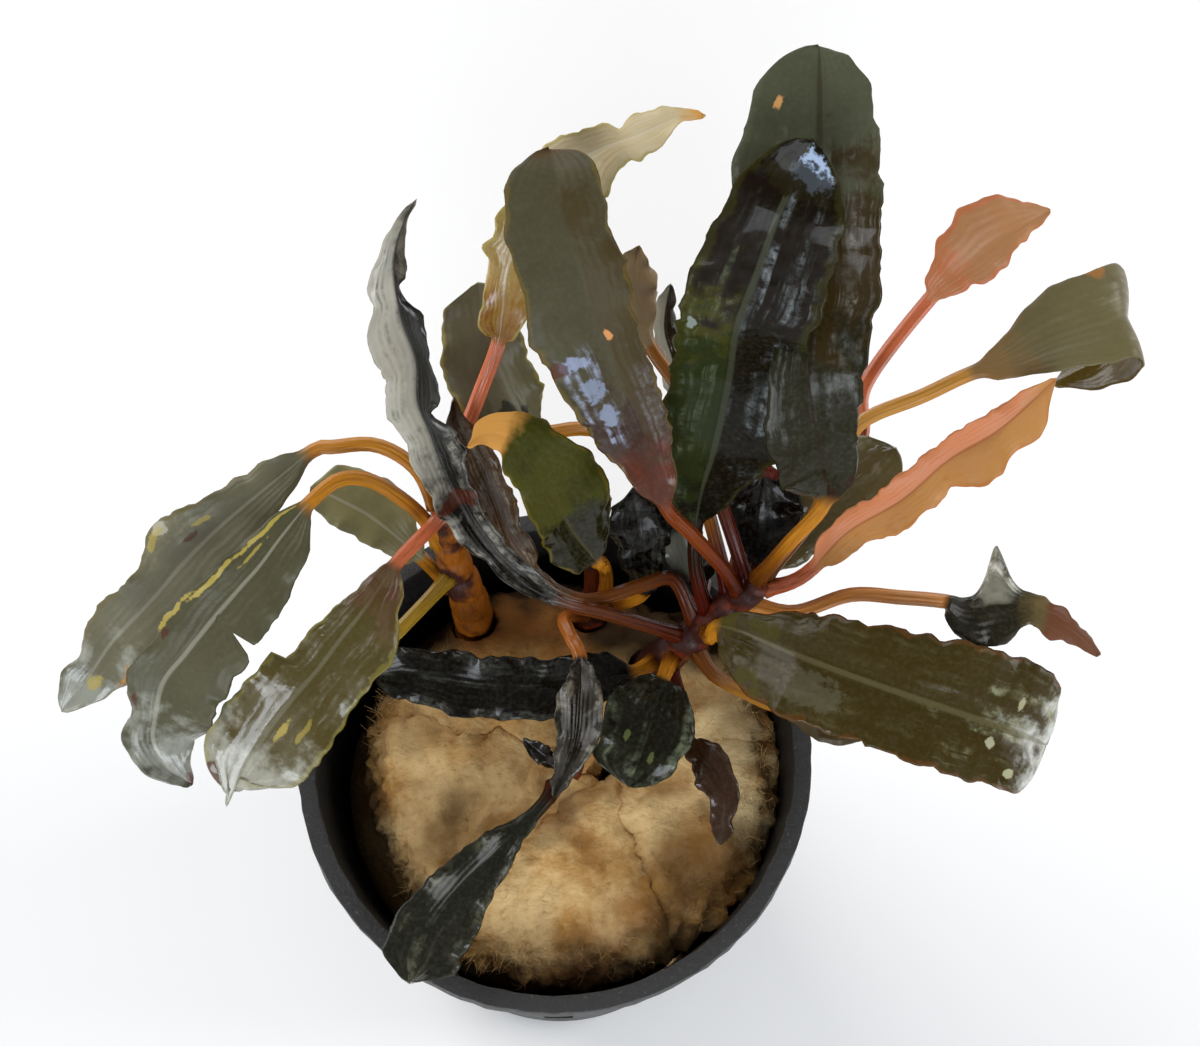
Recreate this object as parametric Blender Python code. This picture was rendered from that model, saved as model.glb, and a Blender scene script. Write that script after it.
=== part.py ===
"""A bucephalandra in a small net pot.

The pot stands on z = 0 with its axis on Z. It is filled with split rock wool,
and three creeping stems grow out of the wool. Every leaf, with its stalk, is a
piece of its own and starts on the skin of its stem. All sizes are millimetres
until a vertex is placed, and the side that is looked at faces -Y.
"""

import math
from collections import namedtuple

import bmesh
import bpy
from mathutils import Vector, noise

MM = 0.001
GAP = 0.3                     # clear space between pieces that touch

# Pot
POT_HEIGHT = 50.0
RIM_DIAMETER = 50.0
RIM_WIDTH = 1.7
RIM_DEPTH = 2.0
BASE_DIAMETER = 34.0
WALL = 1.2
FLOOR = 1.5
POT_SIDES = 40
SLOTS = 10
SLOT_WIDTH = 3.0
SLOT_LOW = 9.0
SLOT_HIGH = 28.0
FOOT_SLOT_LENGTH = 9.0

# Rock wool
WOOL_TOP = 46.2               # where the flat top starts
WOOL_CROWN = 1.2              # how far the middle stands over that
WOOL_FOOT_RADIUS = 14.6
WOOL_PROFILE = ((16.5, 16.0), (18.5, 34.5), (20.3, 44.4), (18.7, WOOL_TOP), (13.4, 46.9),
                (6.7, WOOL_TOP + WOOL_CROWN))   # radius and height, foot and middle left out
WOOL_EDGE = 1.0               # so close to the top or the foot counts as part of it
WOOL_LUMP = 1.6               # twice how far a lump stands out
LUMP_SCALE = 0.12             # lumps for each millimetre
SIDE_LUMP = 0.5               # how much of that the side gets, which a wall holds in
WOOL_SIDES = 26
WOOL_MIDDLE = Vector((4.5, 0.5, 0.0))
CLEFT = 0.5
CLEFT_TOWARDS = {
    "front": (-13.0, -18.0),
    "right": (12.0, -18.5),
    "back": (21.0, 3.5),
    "left": (-19.0, 6.0),
}

# Stems
STEM_SIDES = 8
STEM_SECTIONS = 7
STEM_PINCH = 0.9              # every other section is this much thinner
STEM_ROOM = 1.0               # by how much the hole in the wool is wider than the stem
STEM_HOLE_RISE = 4.0          # how far over the wool its hole is cut
CORE_POINTS = 25              # points along a stem's fine line
NEVER_ALONG = Vector((0, 1, 0.2))     # a direction that no stem runs in

# Leaves
STALK_RADIUS = 0.65
MIDRIB_THICKNESS = 1.0
BLADE_THICKNESS = 0.55
STALK_STEP = 7.0              # length of one stalk section
LINE_POINTS = 201             # points along a leaf's fine line
CURVE_STEPS = 12              # steps between two given points of a smooth line
BLADE_SECTIONS = 10
END_CROWDING = 0.5            # how far the sections crowd towards both ends of a blade
WAVES = 3.3                   # ripples along a margin
WAVE_LAG = 1.3                # the right margin ripples this much later, in radians
READ_AT = (0.1, 0.3, 0.5, 0.7, 0.9)   # where along a blade its half widths are given
SHOULDER = 0.6                # the corners between midrib and margin, as a share of the half width
FREE_START = 8.0              # a stalk starting farther than this from a stem core stays there
TOWARDS_VIEWER = (0.0, -0.3, 1.0)

Leaf = namedtuple("Leaf", "name stem stalk blade right left tip fold wave face curls tone")


def leaf(name, stem, stalk, blade, right, left=None, tip=0.3, fold=8, wave=0.4,
         face=TOWARDS_VIEWER, curls=False, tone="dark"):
    """One leaf: the points of its stalk and midrib, and the half widths of its blade.

    right and left are seen from above, looking from the stalk to the tip. A blade
    that curls carries its face along its own bend instead of facing one way.
    """
    return Leaf(name, stem, stalk, blade, right, left or right, tip, fold, wave,
                face, curls, tone)


# Each stem is the line of its core and its radius along it
STEMS = {
    "stem_left": ([(-8, 14, 41), (-8.5, 16, 50), (-10, 18.5, 57), (-10.5, 20.5, 65)],
                  (2.0, 1.9, 1.6, 1.3)),
    "stem_right": ([(8, 9.5, 42), (11, 10.5, 50), (14, 11.5, 54), (17, 13, 58), (20, 14, 63)],
                   (2.0, 1.9, 1.7, 1.6, 1.2)),
    "stem_middle": ([(1, 15, 41), (3, 15.5, 46), (5.5, 15.5, 51)],
                    (1.5, 1.5, 1.2)),
}

LEAVES = [
    leaf("leaf_left_long", "stem_left",
         [(-11, 21.5, 64.5), (-13, 23, 70), (-16.5, 24.5, 72), (-20.5, 24.5, 71.5),
          (-22.5, 24.5, 70.5)],
         [(-26.5, 21.5, 69.5), (-31, 18.5, 67), (-35, 15.5, 64), (-38.5, 13, 60),
          (-42.5, 10, 56.5), (-45, 7.5, 53.5), (-48, 4.5, 51)],
         right=(2, 3, 3.5, 3, 2.5), left=(2, 4, 4.5, 4.5, 2.5), tip=0.6, tone="grey"),
    leaf("leaf_left_middle", "stem_left",
         [(-11.5, 20, 60), (-12.5, 19.5, 66), (-15, 20.5, 70), (-17.5, 21, 72.5), (-20, 20.5, 73.5),
          (-22.5, 18.5, 73)],
         [(-25, 15.5, 72.5), (-27, 13, 71.5), (-29, 11, 70.5), (-31.5, 8.5, 69), (-34, 6, 67),
          (-36.5, 4, 64), (-37.5, 1.5, 61.5), (-38, -0.5, 59), (-37, -2.5, 57), (-34.5, -4, 55.5)],
         right=(2, 3, 3.5, 3, 1.5), left=(3, 4.5, 5.5, 5.5, 3.5), tip=0.6, tone="grey"),
    leaf("leaf_left_front", "stem_left",
         [(-10.5, 20, 65), (-11.5, 17.5, 68.5), (-14.5, 14, 69)],
         [(-17, 10, 69.5), (-19.5, 7, 68.5), (-22, 4, 67), (-24.5, 1.5, 65.5), (-27, -1, 63),
          (-29, -3.5, 61), (-30, -5.5, 59.5)],
         right=(1.5, 2.5, 3, 4, 4), left=(2.5, 5, 5, 6, 5), tip=2.5, tone="olive"),
    leaf("leaf_left_under", "stem_left",
         [(-9.5, 17, 55), (-13, 13, 57), (-17, 9, 56.5)],
         [(-20.5, 7, 56), (-24.5, 6, 55), (-29.5, 6, 54)],
         right=(1.5, 2.5, 3, 2.5, 1.5), tone="grey"),
    leaf("leaf_left_back", "stem_left",
         [(-9, 17, 52), (-13, 18.5, 56)],
         [(-15.5, 20, 58.5), (-18.5, 22, 59.5), (-23.5, 24.5, 60)],
         right=(1.5, 3, 4, 4, 3), left=(1.5, 2, 2.5, 2.5, 2), tip=1, tone="grey"),
    leaf("leaf_upper_left", "stem_left",
         [(-10.5, 21, 65), (-9, 23.5, 72), (-7, 27.5, 76), (-5, 31.5, 80)],
         [(-4.5, 33.5, 83.5), (-4, 36, 87), (-2, 39.5, 91), (1, 42.5, 94.5), (4.5, 43.5, 97),
          (8, 44, 99), (11, 45, 100), (13.5, 45, 101)],
         right=(2.5, 3.5, 5, 3, 1), left=(2, 2.5, 2.5, 2.5, 0.5), wave=0.7, tone="olive"),
    leaf("leaf_tall_ribbon", "stem_right",
         [(12, 11.5, 54), (8.5, 11.5, 57), (4.5, 11.5, 61), (1, 11.5, 64)],
         [(-2.5, 12.5, 66.5), (-6, 15, 70), (-8.5, 18, 74), (-10, 20.5, 77.5), (-11, 22.5, 81),
          (-12, 24.5, 84.5), (-12, 27, 88), (-13, 29, 92), (-13.5, 31, 95), (-13.5, 33, 98),
          (-12.5, 35, 101), (-11.5, 36, 103)],
         right=(2, 2, 2, 1.5, 1), left=(1.2, 2.5, 3, 3.8, 1.5), fold=33, wave=0.6),
    leaf("leaf_short_ribbon", "stem_right",
         [(14, 11.5, 54.5), (11.5, 15.5, 58.5), (8.5, 14.5, 60), (4.5, 13, 60.5), (2, 13, 60.5)],
         [(-1.5, 14.5, 62), (-4, 17, 65), (-5.5, 20, 69), (-7, 22.5, 73), (-8.5, 24.5, 76.5),
          (-9, 26.5, 79.5)],
         right=(1, 2, 2, 2, 1.5), left=(1, 1.5, 2, 2, 1.5), fold=30),
    leaf("leaf_upper_broad", "stem_right",
         [(18.5, 13.5, 60.5), (16, 14.5, 65.5), (13, 16, 71), (10.5, 17, 76)],
         [(9.5, 19.5, 80), (8, 22, 84), (6.5, 24, 88), (5, 26.5, 91.5), (3.5, 29, 94.5),
          (2.5, 32, 97.5), (1, 35.5, 100), (0.5, 39, 101), (0, 42, 100)],
         right=(1, 2, 3.5, 4, 4), left=(2.5, 4.5, 5.5, 5.5, 4.5), tip=2.5, tone="grey"),
    leaf("leaf_tall_back", "stem_right",
         [(15.5, 12, 56.5), (14, 14.5, 59), (13.5, 16.5, 61), (13.5, 19, 64)],
         [(14, 21, 70), (15, 23, 76), (16, 26.5, 83.5), (16.5, 28.5, 92.5), (18, 31, 98.5),
          (19.5, 34, 103.5), (21, 37, 105.5), (22.5, 39.5, 108)],
         right=(3, 5, 4.5, 6, 5), left=(1.5, 4.5, 5, 5.5, 3.5), tip=1),
    leaf("leaf_tall_front", "stem_right",
         [(20, 14, 63), (22, 15.5, 70), (25, 17.5, 76)],
         [(24.5, 19.5, 82), (23.5, 22, 86), (23, 24.5, 89), (23, 27.5, 91), (23.5, 31, 92.5),
          (23.5, 34.5, 95), (23.5, 38, 98), (23.5, 41.5, 101), (23.5, 45.5, 103),
          (23.5, 49, 103.5), (23.5, 50.5, 103)],
         right=(3, 4.5, 5.5, 5.5, 4.5), left=(3, 1.5, 2.5, 7.5, 6), tip=2),
    leaf("leaf_back_right", "stem_right",
         [(16, 12.5, 57), (22, 18, 57), (27.5, 22.5, 59), (29.5, 28, 64.5), (29.5, 31, 71),
          (34.5, 34.5, 84)],
         [(37, 36, 86.5), (39.5, 37.5, 88.5), (42, 39, 89.5), (45, 41, 89)],
         right=(1, 1.5, 1.5, 1, 0.5), left=(1, 3, 4.5, 3, 1.5), wave=0.2, tone="young"),
    leaf("leaf_right_upper", "stem_right",
         [(20, 14, 62.8), (24.5, 19, 67.5), (27, 23.5, 74), (29, 25.5, 76.5), (34, 27, 78.5),
          (38, 28.5, 80)],
         [(42, 29.5, 81.5), (46, 31, 83), (50, 32, 84), (52, 33, 83.5), (52.5, 33, 80.5),
          (50.5, 31, 77.5), (46.5, 29, 76)],
         right=(1.5, 3, 4, 5, 2.5), left=(1.5, 4, 5, 4.5, 3), wave=0.1, face=(-0.5, -0.3, 1),
         curls=True, tone="grey"),
    leaf("leaf_right_young", "stem_right",
         [(20, 14, 62), (22.5, 13.7, 63.5), (24.5, 14.5, 65.5)],
         [(27.5, 17, 68.5), (32.5, 19, 72.5), (36.5, 21.5, 76.5), (40.5, 23, 80),
          (43.5, 25, 82.5), (45.5, 26.5, 84.5)],
         right=(2, 2, 3.5, 4, 2), left=(1.5, 1.5, 1.5, 2, 1.5), fold=20, wave=0.5, tone="young"),
    leaf("leaf_right_twisted", "stem_right",
         [(18, 13.2, 59), (23, 11.8, 60), (28, 12, 65), (32.5, 11, 67.5), (36.5, 10, 69.5)],
         [(38.5, 9, 70.5), (41.5, 9, 71.5), (43.5, 9, 72), (46, 8, 72), (48.5, 6.5, 71),
          (50.5, 5, 69)],
         right=(2.5, 4, 2, 2, 1), left=(1, 4, 1.2, 1, 0.6), wave=0.3),
    leaf("leaf_right_broad", "stem_right",
         [(16, 10.5, 55), (15, 9.5, 59), (15.5, 9.5, 63)],
         [(18, 8, 66), (23, 5, 68.5), (28.5, 2.5, 69.5), (34, 0.5, 69.5), (39, -1, 68.5),
          (43.5, -2, 66.5), (46, -2, 63)],
         right=(4, 6, 5, 5, 3.5), left=(2, 4.5, 5.5, 6.5, 6.5), tip=4, tone="olive"),
    leaf("leaf_right_under", "stem_right",
         [(13, 11, 52.7), (15.5, 7.5, 53), (18.5, 5.5, 54), (21.5, 4, 54.5)],
         [(26.5, 3, 56), (31.5, 2.5, 57), (36, 2.5, 57)],
         right=(1.5, 2.5, 3, 2.5, 1.5), tone="olive"),
    leaf("leaf_right_dark", "stem_right",
         [(18, 13.5, 59.5), (21, 16.5, 59)],
         [(24, 19, 61), (28, 22.5, 64), (32.5, 26, 67)],
         right=(1.5, 2.2, 2.8, 3, 2.8), left=(2, 3.5, 4, 3.5, 3), tip=1.5),
    leaf("leaf_across_wool", "stem_right",
         [(10.5, 10, 50), (8, 8.5, 51)],
         [(4.5, 7.5, 51.5), (-1.5, 6.5, 52), (-8, 6.5, 52.5), (-14, 7.5, 53), (-17.5, 7.5, 53)],
         right=(2.5, 3, 3, 3, 2.5), left=(2, 3, 3.2, 3, 2.5), tip=1.5, wave=0.6),
    leaf("leaf_front_folded", "stem_middle",
         [(3, 15, 48), (1, 13, 54), (1.5, 10, 58.5), (2.5, 7.5, 59.5)],
         [(2.5, 3, 60.5), (2, -1.5, 60.5), (0, -6, 58.5)],
         right=(1.4, 2.4, 2.6, 1.9, 1), fold=35, wave=0.2),
    leaf("leaf_front_dark", "stem_right",
         [(11.5, 10.5, 51.5), (10.5, 7, 53.5)],
         [(9.5, 4, 54.5), (8.5, 0, 54.5), (7, -3.5, 53)],
         right=(2.5, 4, 4.5, 4.5, 4), left=(2.5, 4.5, 4.5, 4, 3), tip=2),
    leaf("leaf_front_brown", "stem_right",
         [(11, 10.5, 50), (12.3, 5.5, 50.3), (13, 1.5, 51)],
         [(15, -0.5, 52), (16.5, -3, 52), (16.5, -5.5, 51), (16, -8.5, 49.5)],
         right=(1.5, 2.2, 2.5, 1.5, 1), left=(1.2, 1.4, 1.3, 1.3, 1), wave=0.1, tone="brown"),
    leaf("leaf_sliver", "stem_middle",
         [(2.5, -1, 48.8), (0.5, -0.5, 49.5)],
         [(-1, 0, 50.5), (-3, 1.5, 51.5)],
         right=(0.7, 0.9, 0.9, 0.7, 0.4), wave=0.1, tone="brown"),
    leaf("leaf_over_rim", "stem_middle",
         [(0, -2.5, 49), (-1, -4.5, 50)],
         [(-5, -9, 51), (-9, -13.5, 52.8), (-12, -18, 54), (-13.5, -23, 54.5)],
         right=(1, 2, 2.8, 3, 3.5), left=(1, 2, 3.2, 4.2, 4), tip=2),
    leaf("leaf_centre_green", "stem_middle",
         [(5, 15.5, 51), (5, 16.5, 57), (4.5, 15.5, 64), (4, 14, 69.5)],
         [(1.5, 15.5, 75), (0, 17.5, 79), (-2, 19, 82), (-3.5, 20.5, 84), (-5.5, 21.5, 83.5),
          (-7.5, 21, 81.5)],
         right=(2, 3, 3, 2.5, 1), left=(2.5, 3, 2.5, 2, 1), curls=True, tone="green"),
    leaf("leaf_centre_dark", "stem_middle",
         [(5.5, 15.5, 50), (8.7, 15.5, 54.5)],
         [(8.5, 17.5, 60), (8, 20.5, 64), (7.5, 22, 66.5)],
         right=(1.2, 1.8, 2.5, 2.6, 2), left=(1.5, 2, 2.5, 3, 2.5), tip=1),
    leaf("leaf_centre_back", "stem_middle",
         [(4, 15.5, 48), (3.5, 18.5, 53)],
         [(3, 21, 58), (2, 24, 62)],
         right=(0.9, 1.5, 1.9, 1.7, 1.2)),
    leaf("leaf_centre_grey", "stem_right",
         [(14, 12, 54), (14.5, 16.2, 55.5)],
         [(13.2, 17.4, 57.8), (12.3, 19.5, 60.2), (11.3, 22, 62.8)],
         right=(1.4, 1.9, 2, 1.8, 1.2), left=(1.3, 2.1, 2.4, 2.2, 1.6), tip=0.8, tone="grey"),
    leaf("leaf_back_grey", "stem_right",
         [(17, 13.2, 58), (17.5, 20, 59.5), (11, 27, 63), (3.5, 27.5, 68), (-1, 26.5, 70)],
         [(-3.5, 27.5, 71.5), (-5.5, 32, 75), (-7, 38, 79)],
         right=(2.5, 3.5, 3.5, 3, 2), left=(2, 4.5, 5, 4.5, 3.5), tip=1.5, tone="grey"),
    leaf("leaf_back_hidden", "stem_right",
         [(19, 13.8, 61.5), (16.5, 19, 65.5), (12.5, 29, 71), (9, 33, 76)],
         [(8, 36, 78.5), (7.5, 38, 80.5), (8, 40.5, 82)],
         right=(1, 1.5, 2, 2.2, 1.2), tone="brown"),
    leaf("leaf_back_narrow", "stem_right",
         [(17.5, 13.3, 59), (15, 20, 62.5), (12.5, 28, 66)],
         [(11.5, 33, 70), (10.5, 36, 72.5), (11, 39.5, 75)],
         right=(0.9, 1.3, 1.5, 1.3, 1)),
    leaf("leaf_brown_curl", "stem_right",
         [(18.5, 13.5, 60.5), (19.2, 16.2, 60.8)],
         [(19.5, 17.8, 61.4), (19.6, 19.5, 62.3), (19.7, 21.5, 64), (20, 24.5, 68)],
         right=(1.6, 3.4, 4.2, 3.6, 1.8), left=(1.8, 3.4, 3.6, 2.8, 1.4), tone="brown"),
]

# Colour, roughness
FINISHES = {
    "pot": ((0.012, 0.012, 0.013), 0.42),
    "wool": ((0.50, 0.33, 0.15), 0.95),
    "stem": ((0.35, 0.14, 0.03), 0.35),
    "dark": ((0.022, 0.026, 0.014), 0.18),
    "grey": ((0.075, 0.085, 0.060), 0.35),
    "olive": ((0.085, 0.085, 0.035), 0.30),
    "green": ((0.060, 0.090, 0.020), 0.30),
    "young": ((0.45, 0.17, 0.07), 0.30),
    "brown": ((0.070, 0.030, 0.018), 0.25),
}


def clear_scene():
    for item in list(bpy.data.objects):
        bpy.data.objects.remove(item, do_unlink=True)


def material(kind):
    """The plain finish of one kind of piece, made once."""
    if kind in bpy.data.materials:
        return bpy.data.materials[kind]
    colour, roughness = FINISHES[kind]
    made = bpy.data.materials.new(kind)
    made.use_nodes = True
    shader = made.node_tree.nodes["Principled BSDF"]
    shader.inputs["Base Color"].default_value = (*colour, 1.0)
    shader.inputs["Roughness"].default_value = roughness
    shader.inputs["Metallic"].default_value = 0.0
    return made


def add_object(name, bm, kind, sharp=math.radians(40)):
    """Turn a mesh under construction into a named object in metres."""
    bmesh.ops.recalc_face_normals(bm, faces=bm.faces)
    bmesh.ops.scale(bm, vec=(MM, MM, MM), verts=bm.verts)
    mesh = bpy.data.meshes.new(name)
    bm.to_mesh(mesh)
    bm.free()
    mesh.shade_smooth()
    mesh.set_sharp_from_angle(angle=sharp)
    mesh.materials.append(material(kind))
    made = bpy.data.objects.new(name, mesh)
    bpy.context.scene.collection.objects.link(made)
    return made


def smooth_line(points, count):
    """Points at even steps along a smooth line through the given points."""
    points = [Vector(point) for point in points]
    padded = [2 * points[0] - points[1], *points, 2 * points[-1] - points[-2]]
    fine = []
    for a, b, c, d in zip(padded, padded[1:], padded[2:], padded[3:]):
        for step in range(CURVE_STEPS):
            t = step / CURVE_STEPS
            fine.append(0.5 * (2 * b + (c - a) * t + (2 * a - 5 * b + 4 * c - d) * t ** 2
                               + (3 * b - a - 3 * c + d) * t ** 3))
    fine.append(points[-1])
    lengths = [0.0]
    for before, after in zip(fine, fine[1:]):
        lengths.append(lengths[-1] + (after - before).length)
    line = []
    at = 0
    for index in range(count):
        wanted = lengths[-1] * index / (count - 1)
        while at < len(fine) - 2 and lengths[at + 1] < wanted:
            at += 1
        share = (wanted - lengths[at]) / (lengths[at + 1] - lengths[at])
        line.append(fine[at].lerp(fine[at + 1], min(share, 1.0)))
    return line


def directions(line):
    """The way the line runs at each of its points."""
    runs = []
    for index in range(len(line)):
        before = line[max(index - 1, 0)]
        after = line[min(index + 1, len(line) - 1)]
        runs.append((after - before).normalized())
    return runs


def draw_out(rings):
    """A closed body drawn out of a capped circle, one ring of corners at a time."""
    bm = bmesh.new()
    bmesh.ops.create_circle(bm, cap_ends=True, segments=len(rings[0]), radius=1.0)
    bm.faces.ensure_lookup_table()
    front = bm.faces[0]
    for corner, place in zip(front.verts, rings[0]):
        corner.co = place
    for count, ring in enumerate(rings[1:]):
        behind = front
        grown = bmesh.ops.extrude_face_region(bm, geom=[behind])["geom"]
        front = next(item for item in grown if isinstance(item, bmesh.types.BMFace))
        if count:
            bmesh.ops.delete(bm, geom=[behind], context="FACES_ONLY")
        for corner, place in zip(front.verts, ring):
            corner.co = place
    return bm


def blade_half_width(spec, side, t):
    """Half the blade's width on one side at the share t of its length."""
    places = (0.0, *READ_AT, 1.0)
    widths = (STALK_RADIUS, *side, spec.tip)
    for index in range(len(places) - 1):
        if t <= places[index + 1]:
            break
    low = widths[max(index - 1, 0)]
    high = widths[min(index + 2, len(widths) - 1)]
    here, there = widths[index], widths[index + 1]
    u = (t - places[index]) / (places[index + 1] - places[index])
    wide = here + 0.5 * u * (there - low + u * (2 * low - 5 * here + 4 * there - high
                                                + u * (3 * (here - there) + high - low)))
    return max(wide, spec.tip if t > 0.5 else STALK_RADIUS / 2)


def frames(spec, runs, foot):
    """The sideways direction of the leaf at each of its sections."""
    face = Vector(spec.face)
    if not spec.curls:
        return [run.cross(face).normalized() for run in runs]
    across = runs[foot].cross(face).normalized()
    carried = [across] * (foot + 1)
    for run in runs[foot + 1:]:
        across = (across - run * across.dot(run)).normalized()
        carried.append(across)
    for index in range(foot):
        along = runs[index]
        carried[index] = (carried[index] - along * carried[index].dot(along)).normalized()
    return carried


def leaf_ring(spec, centre, run, across, t, on_blade):
    """The corners of the leaf's section at the share t of its blade."""
    normal = across.cross(run)
    widths = {1: STALK_RADIUS, -1: STALK_RADIUS}
    opened = 0.0
    if on_blade:
        widths = {1: blade_half_width(spec, spec.right, t),
                  -1: blade_half_width(spec, spec.left, t)}
        opened = 1.0 if t > 0.5 else min(max(widths.values()) / STALK_RADIUS - 1, 1.0)
    rib = STALK_RADIUS + (MIDRIB_THICKNESS / 2 * (1 - 0.5 * t) - STALK_RADIUS) * opened
    round_skin = math.sqrt(1 - SHOULDER ** 2) * STALK_RADIUS
    skin = round_skin + (BLADE_THICKNESS / 2 - round_skin) * opened
    fold = math.radians(spec.fold) * opened
    corners = []
    for share, height in ((1, 0), (SHOULDER, skin), (0, rib), (-SHOULDER, skin),
                          (-1, 0), (-SHOULDER, -skin), (0, -rib), (SHOULDER, -skin)):
        half = widths[1 if share > 0 else -1]
        ripple = spec.wave * opened * share ** 2 * math.sin(
            math.tau * WAVES * t + (WAVE_LAG if share > 0 else 0.0))
        corners.append(centre + across * share * half * math.cos(fold)
                       + normal * (height + abs(share) * half * math.sin(fold) + ripple))
    return corners


def stem_core(name):
    """The fine middle line of a stem, with its radius at each point."""
    points, radii = STEMS[name]
    line = smooth_line(points, CORE_POINTS)
    sizes = []
    for index in range(len(line)):
        along = index / (len(line) - 1) * (len(radii) - 1)
        low = min(int(along), len(radii) - 2)
        sizes.append(radii[low] + (radii[low + 1] - radii[low]) * (along - low))
    return list(zip(line, sizes))


def start_on_stem(spec):
    """Move a stalk's first point onto the skin of the stem that carries it."""
    first, second = Vector(spec.stalk[0]), Vector(spec.stalk[1])
    core = stem_core(spec.stem)
    runs = directions([spot[0] for spot in core])
    at = min(range(len(core)), key=lambda index: (core[index][0] - first).length)
    middle, radius = core[at]
    if (middle - first).length > FREE_START:
        return first
    way = (second - middle).normalized()
    outwards = (way - runs[at] * way.dot(runs[at])).normalized()
    reach = STALK_RADIUS * math.sqrt(max(1 - way.dot(outwards) ** 2, 0.0))
    return middle + outwards * (radius + reach + GAP)


def make_leaf(spec):
    start = start_on_stem(spec)
    points = [start, *[Vector(point) for point in spec.stalk[1:]],
              *[Vector(point) for point in spec.blade]]
    whole = smooth_line(points, LINE_POINTS)
    foot = Vector(spec.stalk[-1])
    foot_at = min(range(len(whole)), key=lambda index: (whole[index] - foot).length)
    stalk_length = sum((b - a).length for a, b in zip(whole[:foot_at], whole[1:foot_at + 1]))
    stalk_parts = max(round(stalk_length / STALK_STEP), 1)
    stations = [foot_at * index / stalk_parts for index in range(stalk_parts)]
    shares = [0.0] * stalk_parts
    for index in range(BLADE_SECTIONS + 1):
        even = index / BLADE_SECTIONS
        crowded = (1 - math.cos(math.pi * even)) / 2
        t = even + END_CROWDING * (crowded - even)
        stations.append(foot_at + (len(whole) - 1 - foot_at) * t)
        shares.append(t)
    line = [whole[round(at)] for at in stations]
    runs = directions(line)
    sideways = frames(spec, runs, stalk_parts)
    rings = []
    for index, (centre, run, across) in enumerate(zip(line, runs, sideways)):
        rings.append(leaf_ring(spec, centre, run, across, shares[index],
                               index >= stalk_parts))
    return add_object(spec.name, draw_out(rings), spec.tone)


def round_ring(centre, run, radius, sides=STEM_SIDES):
    """The corners of a round section square to the way a stem runs."""
    across = run.cross(NEVER_ALONG).normalized()
    up = across.cross(run)
    turns = [math.tau * side / sides for side in range(sides)]
    return [centre + (across * math.cos(turn) + up * math.sin(turn)) * radius for turn in turns]


def make_stem(name):
    core = stem_core(name)
    spots = [core[round(index * (len(core) - 1) / STEM_SECTIONS)]
             for index in range(STEM_SECTIONS + 1)]
    runs = directions([middle for middle, _ in spots])
    rings = []
    for index, ((middle, radius), run) in enumerate(zip(spots, runs)):
        swell = 1.0 if index % 2 else STEM_PINCH
        rings.append(round_ring(middle, run, radius * swell))
    return add_object(name, draw_out(rings), "stem")


def turned(profile, sides):
    """A body turned about Z from a profile that starts and ends on the axis."""
    bm = bmesh.new()
    corners = [bm.verts.new((radius, 0.0, height)) for radius, height in profile]
    for low, high in zip(corners, corners[1:]):
        bm.edges.new((low, high))
    bmesh.ops.spin(bm, geom=bm.verts[:] + bm.edges[:], cent=(0, 0, 0), axis=(0, 0, 1),
                   angle=math.tau, steps=sides, use_merge=True)
    bmesh.ops.remove_doubles(bm, verts=bm.verts, dist=0.0001)
    return bm


def box(bm, size, centre, turn):
    """Add a box whose length runs outwards, turned about Z."""
    verts = bmesh.ops.create_cube(bm, size=1.0)["verts"]
    bmesh.ops.scale(bm, vec=size, verts=verts)
    bmesh.ops.translate(bm, vec=centre, verts=verts)
    cos, sin = math.cos(turn), math.sin(turn)
    for vert in verts:
        x, y, z = vert.co
        vert.co = (x * cos - y * sin, x * sin + y * cos, z)


def make_cutter(name, bm):
    """A hidden body that only takes its shape out of others."""
    cutter = add_object(name, bm, "pot")
    cutter.hide_render = True
    cutter.display_type = "WIRE"
    return cutter


def cut(target, cutter):
    change = target.modifiers.new(cutter.name, "BOOLEAN")
    change.operation = "DIFFERENCE"
    change.solver = "EXACT"
    change.object = cutter


def make_pot():
    rim = RIM_DIAMETER / 2
    base = BASE_DIAMETER / 2
    under_rim = POT_HEIGHT - RIM_DEPTH
    neck = rim - RIM_WIDTH + WALL / 2
    profile = [(0, 0), (base, 0), (neck, under_rim), (rim, under_rim), (rim, POT_HEIGHT),
               (rim - RIM_WIDTH, POT_HEIGHT), (base - WALL, FLOOR), (0, FLOOR)]
    pot = add_object("pot", turned(profile, POT_SIDES), "pot", sharp=math.radians(30))
    slots = bmesh.new()
    for index in range(SLOTS):
        turn = math.tau * (index + 0.5) / SLOTS
        box(slots, (base, SLOT_WIDTH, SLOT_HIGH - SLOT_LOW),
            (rim - RIM_WIDTH - WALL, 0, (SLOT_LOW + SLOT_HIGH) / 2), turn)
        if index % 2:
            box(slots, (FOOT_SLOT_LENGTH, SLOT_WIDTH, 4 * FLOOR), (base / 2, 0, 0), turn)
    cut(pot, make_cutter("slot_cutter", slots))


def wool_block():
    """The whole plug of wool, tapered like the pot, before it is split."""
    foot = FLOOR + GAP
    profile = [(0, foot), (WOOL_FOOT_RADIUS, foot), *WOOL_PROFILE, (0, WOOL_TOP + WOOL_CROWN)]
    bm = turned(profile, WOOL_SIDES)
    for vert in bm.verts:
        push = WOOL_LUMP * noise.noise(vert.co * LUMP_SCALE)
        if vert.co.z > WOOL_TOP - WOOL_EDGE:
            vert.co.z += push
        elif vert.co.z > foot + WOOL_EDGE:
            out = Vector((vert.co.x, vert.co.y, 0)).normalized()
            vert.co += out * SIDE_LUMP * push
    return bm


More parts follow.
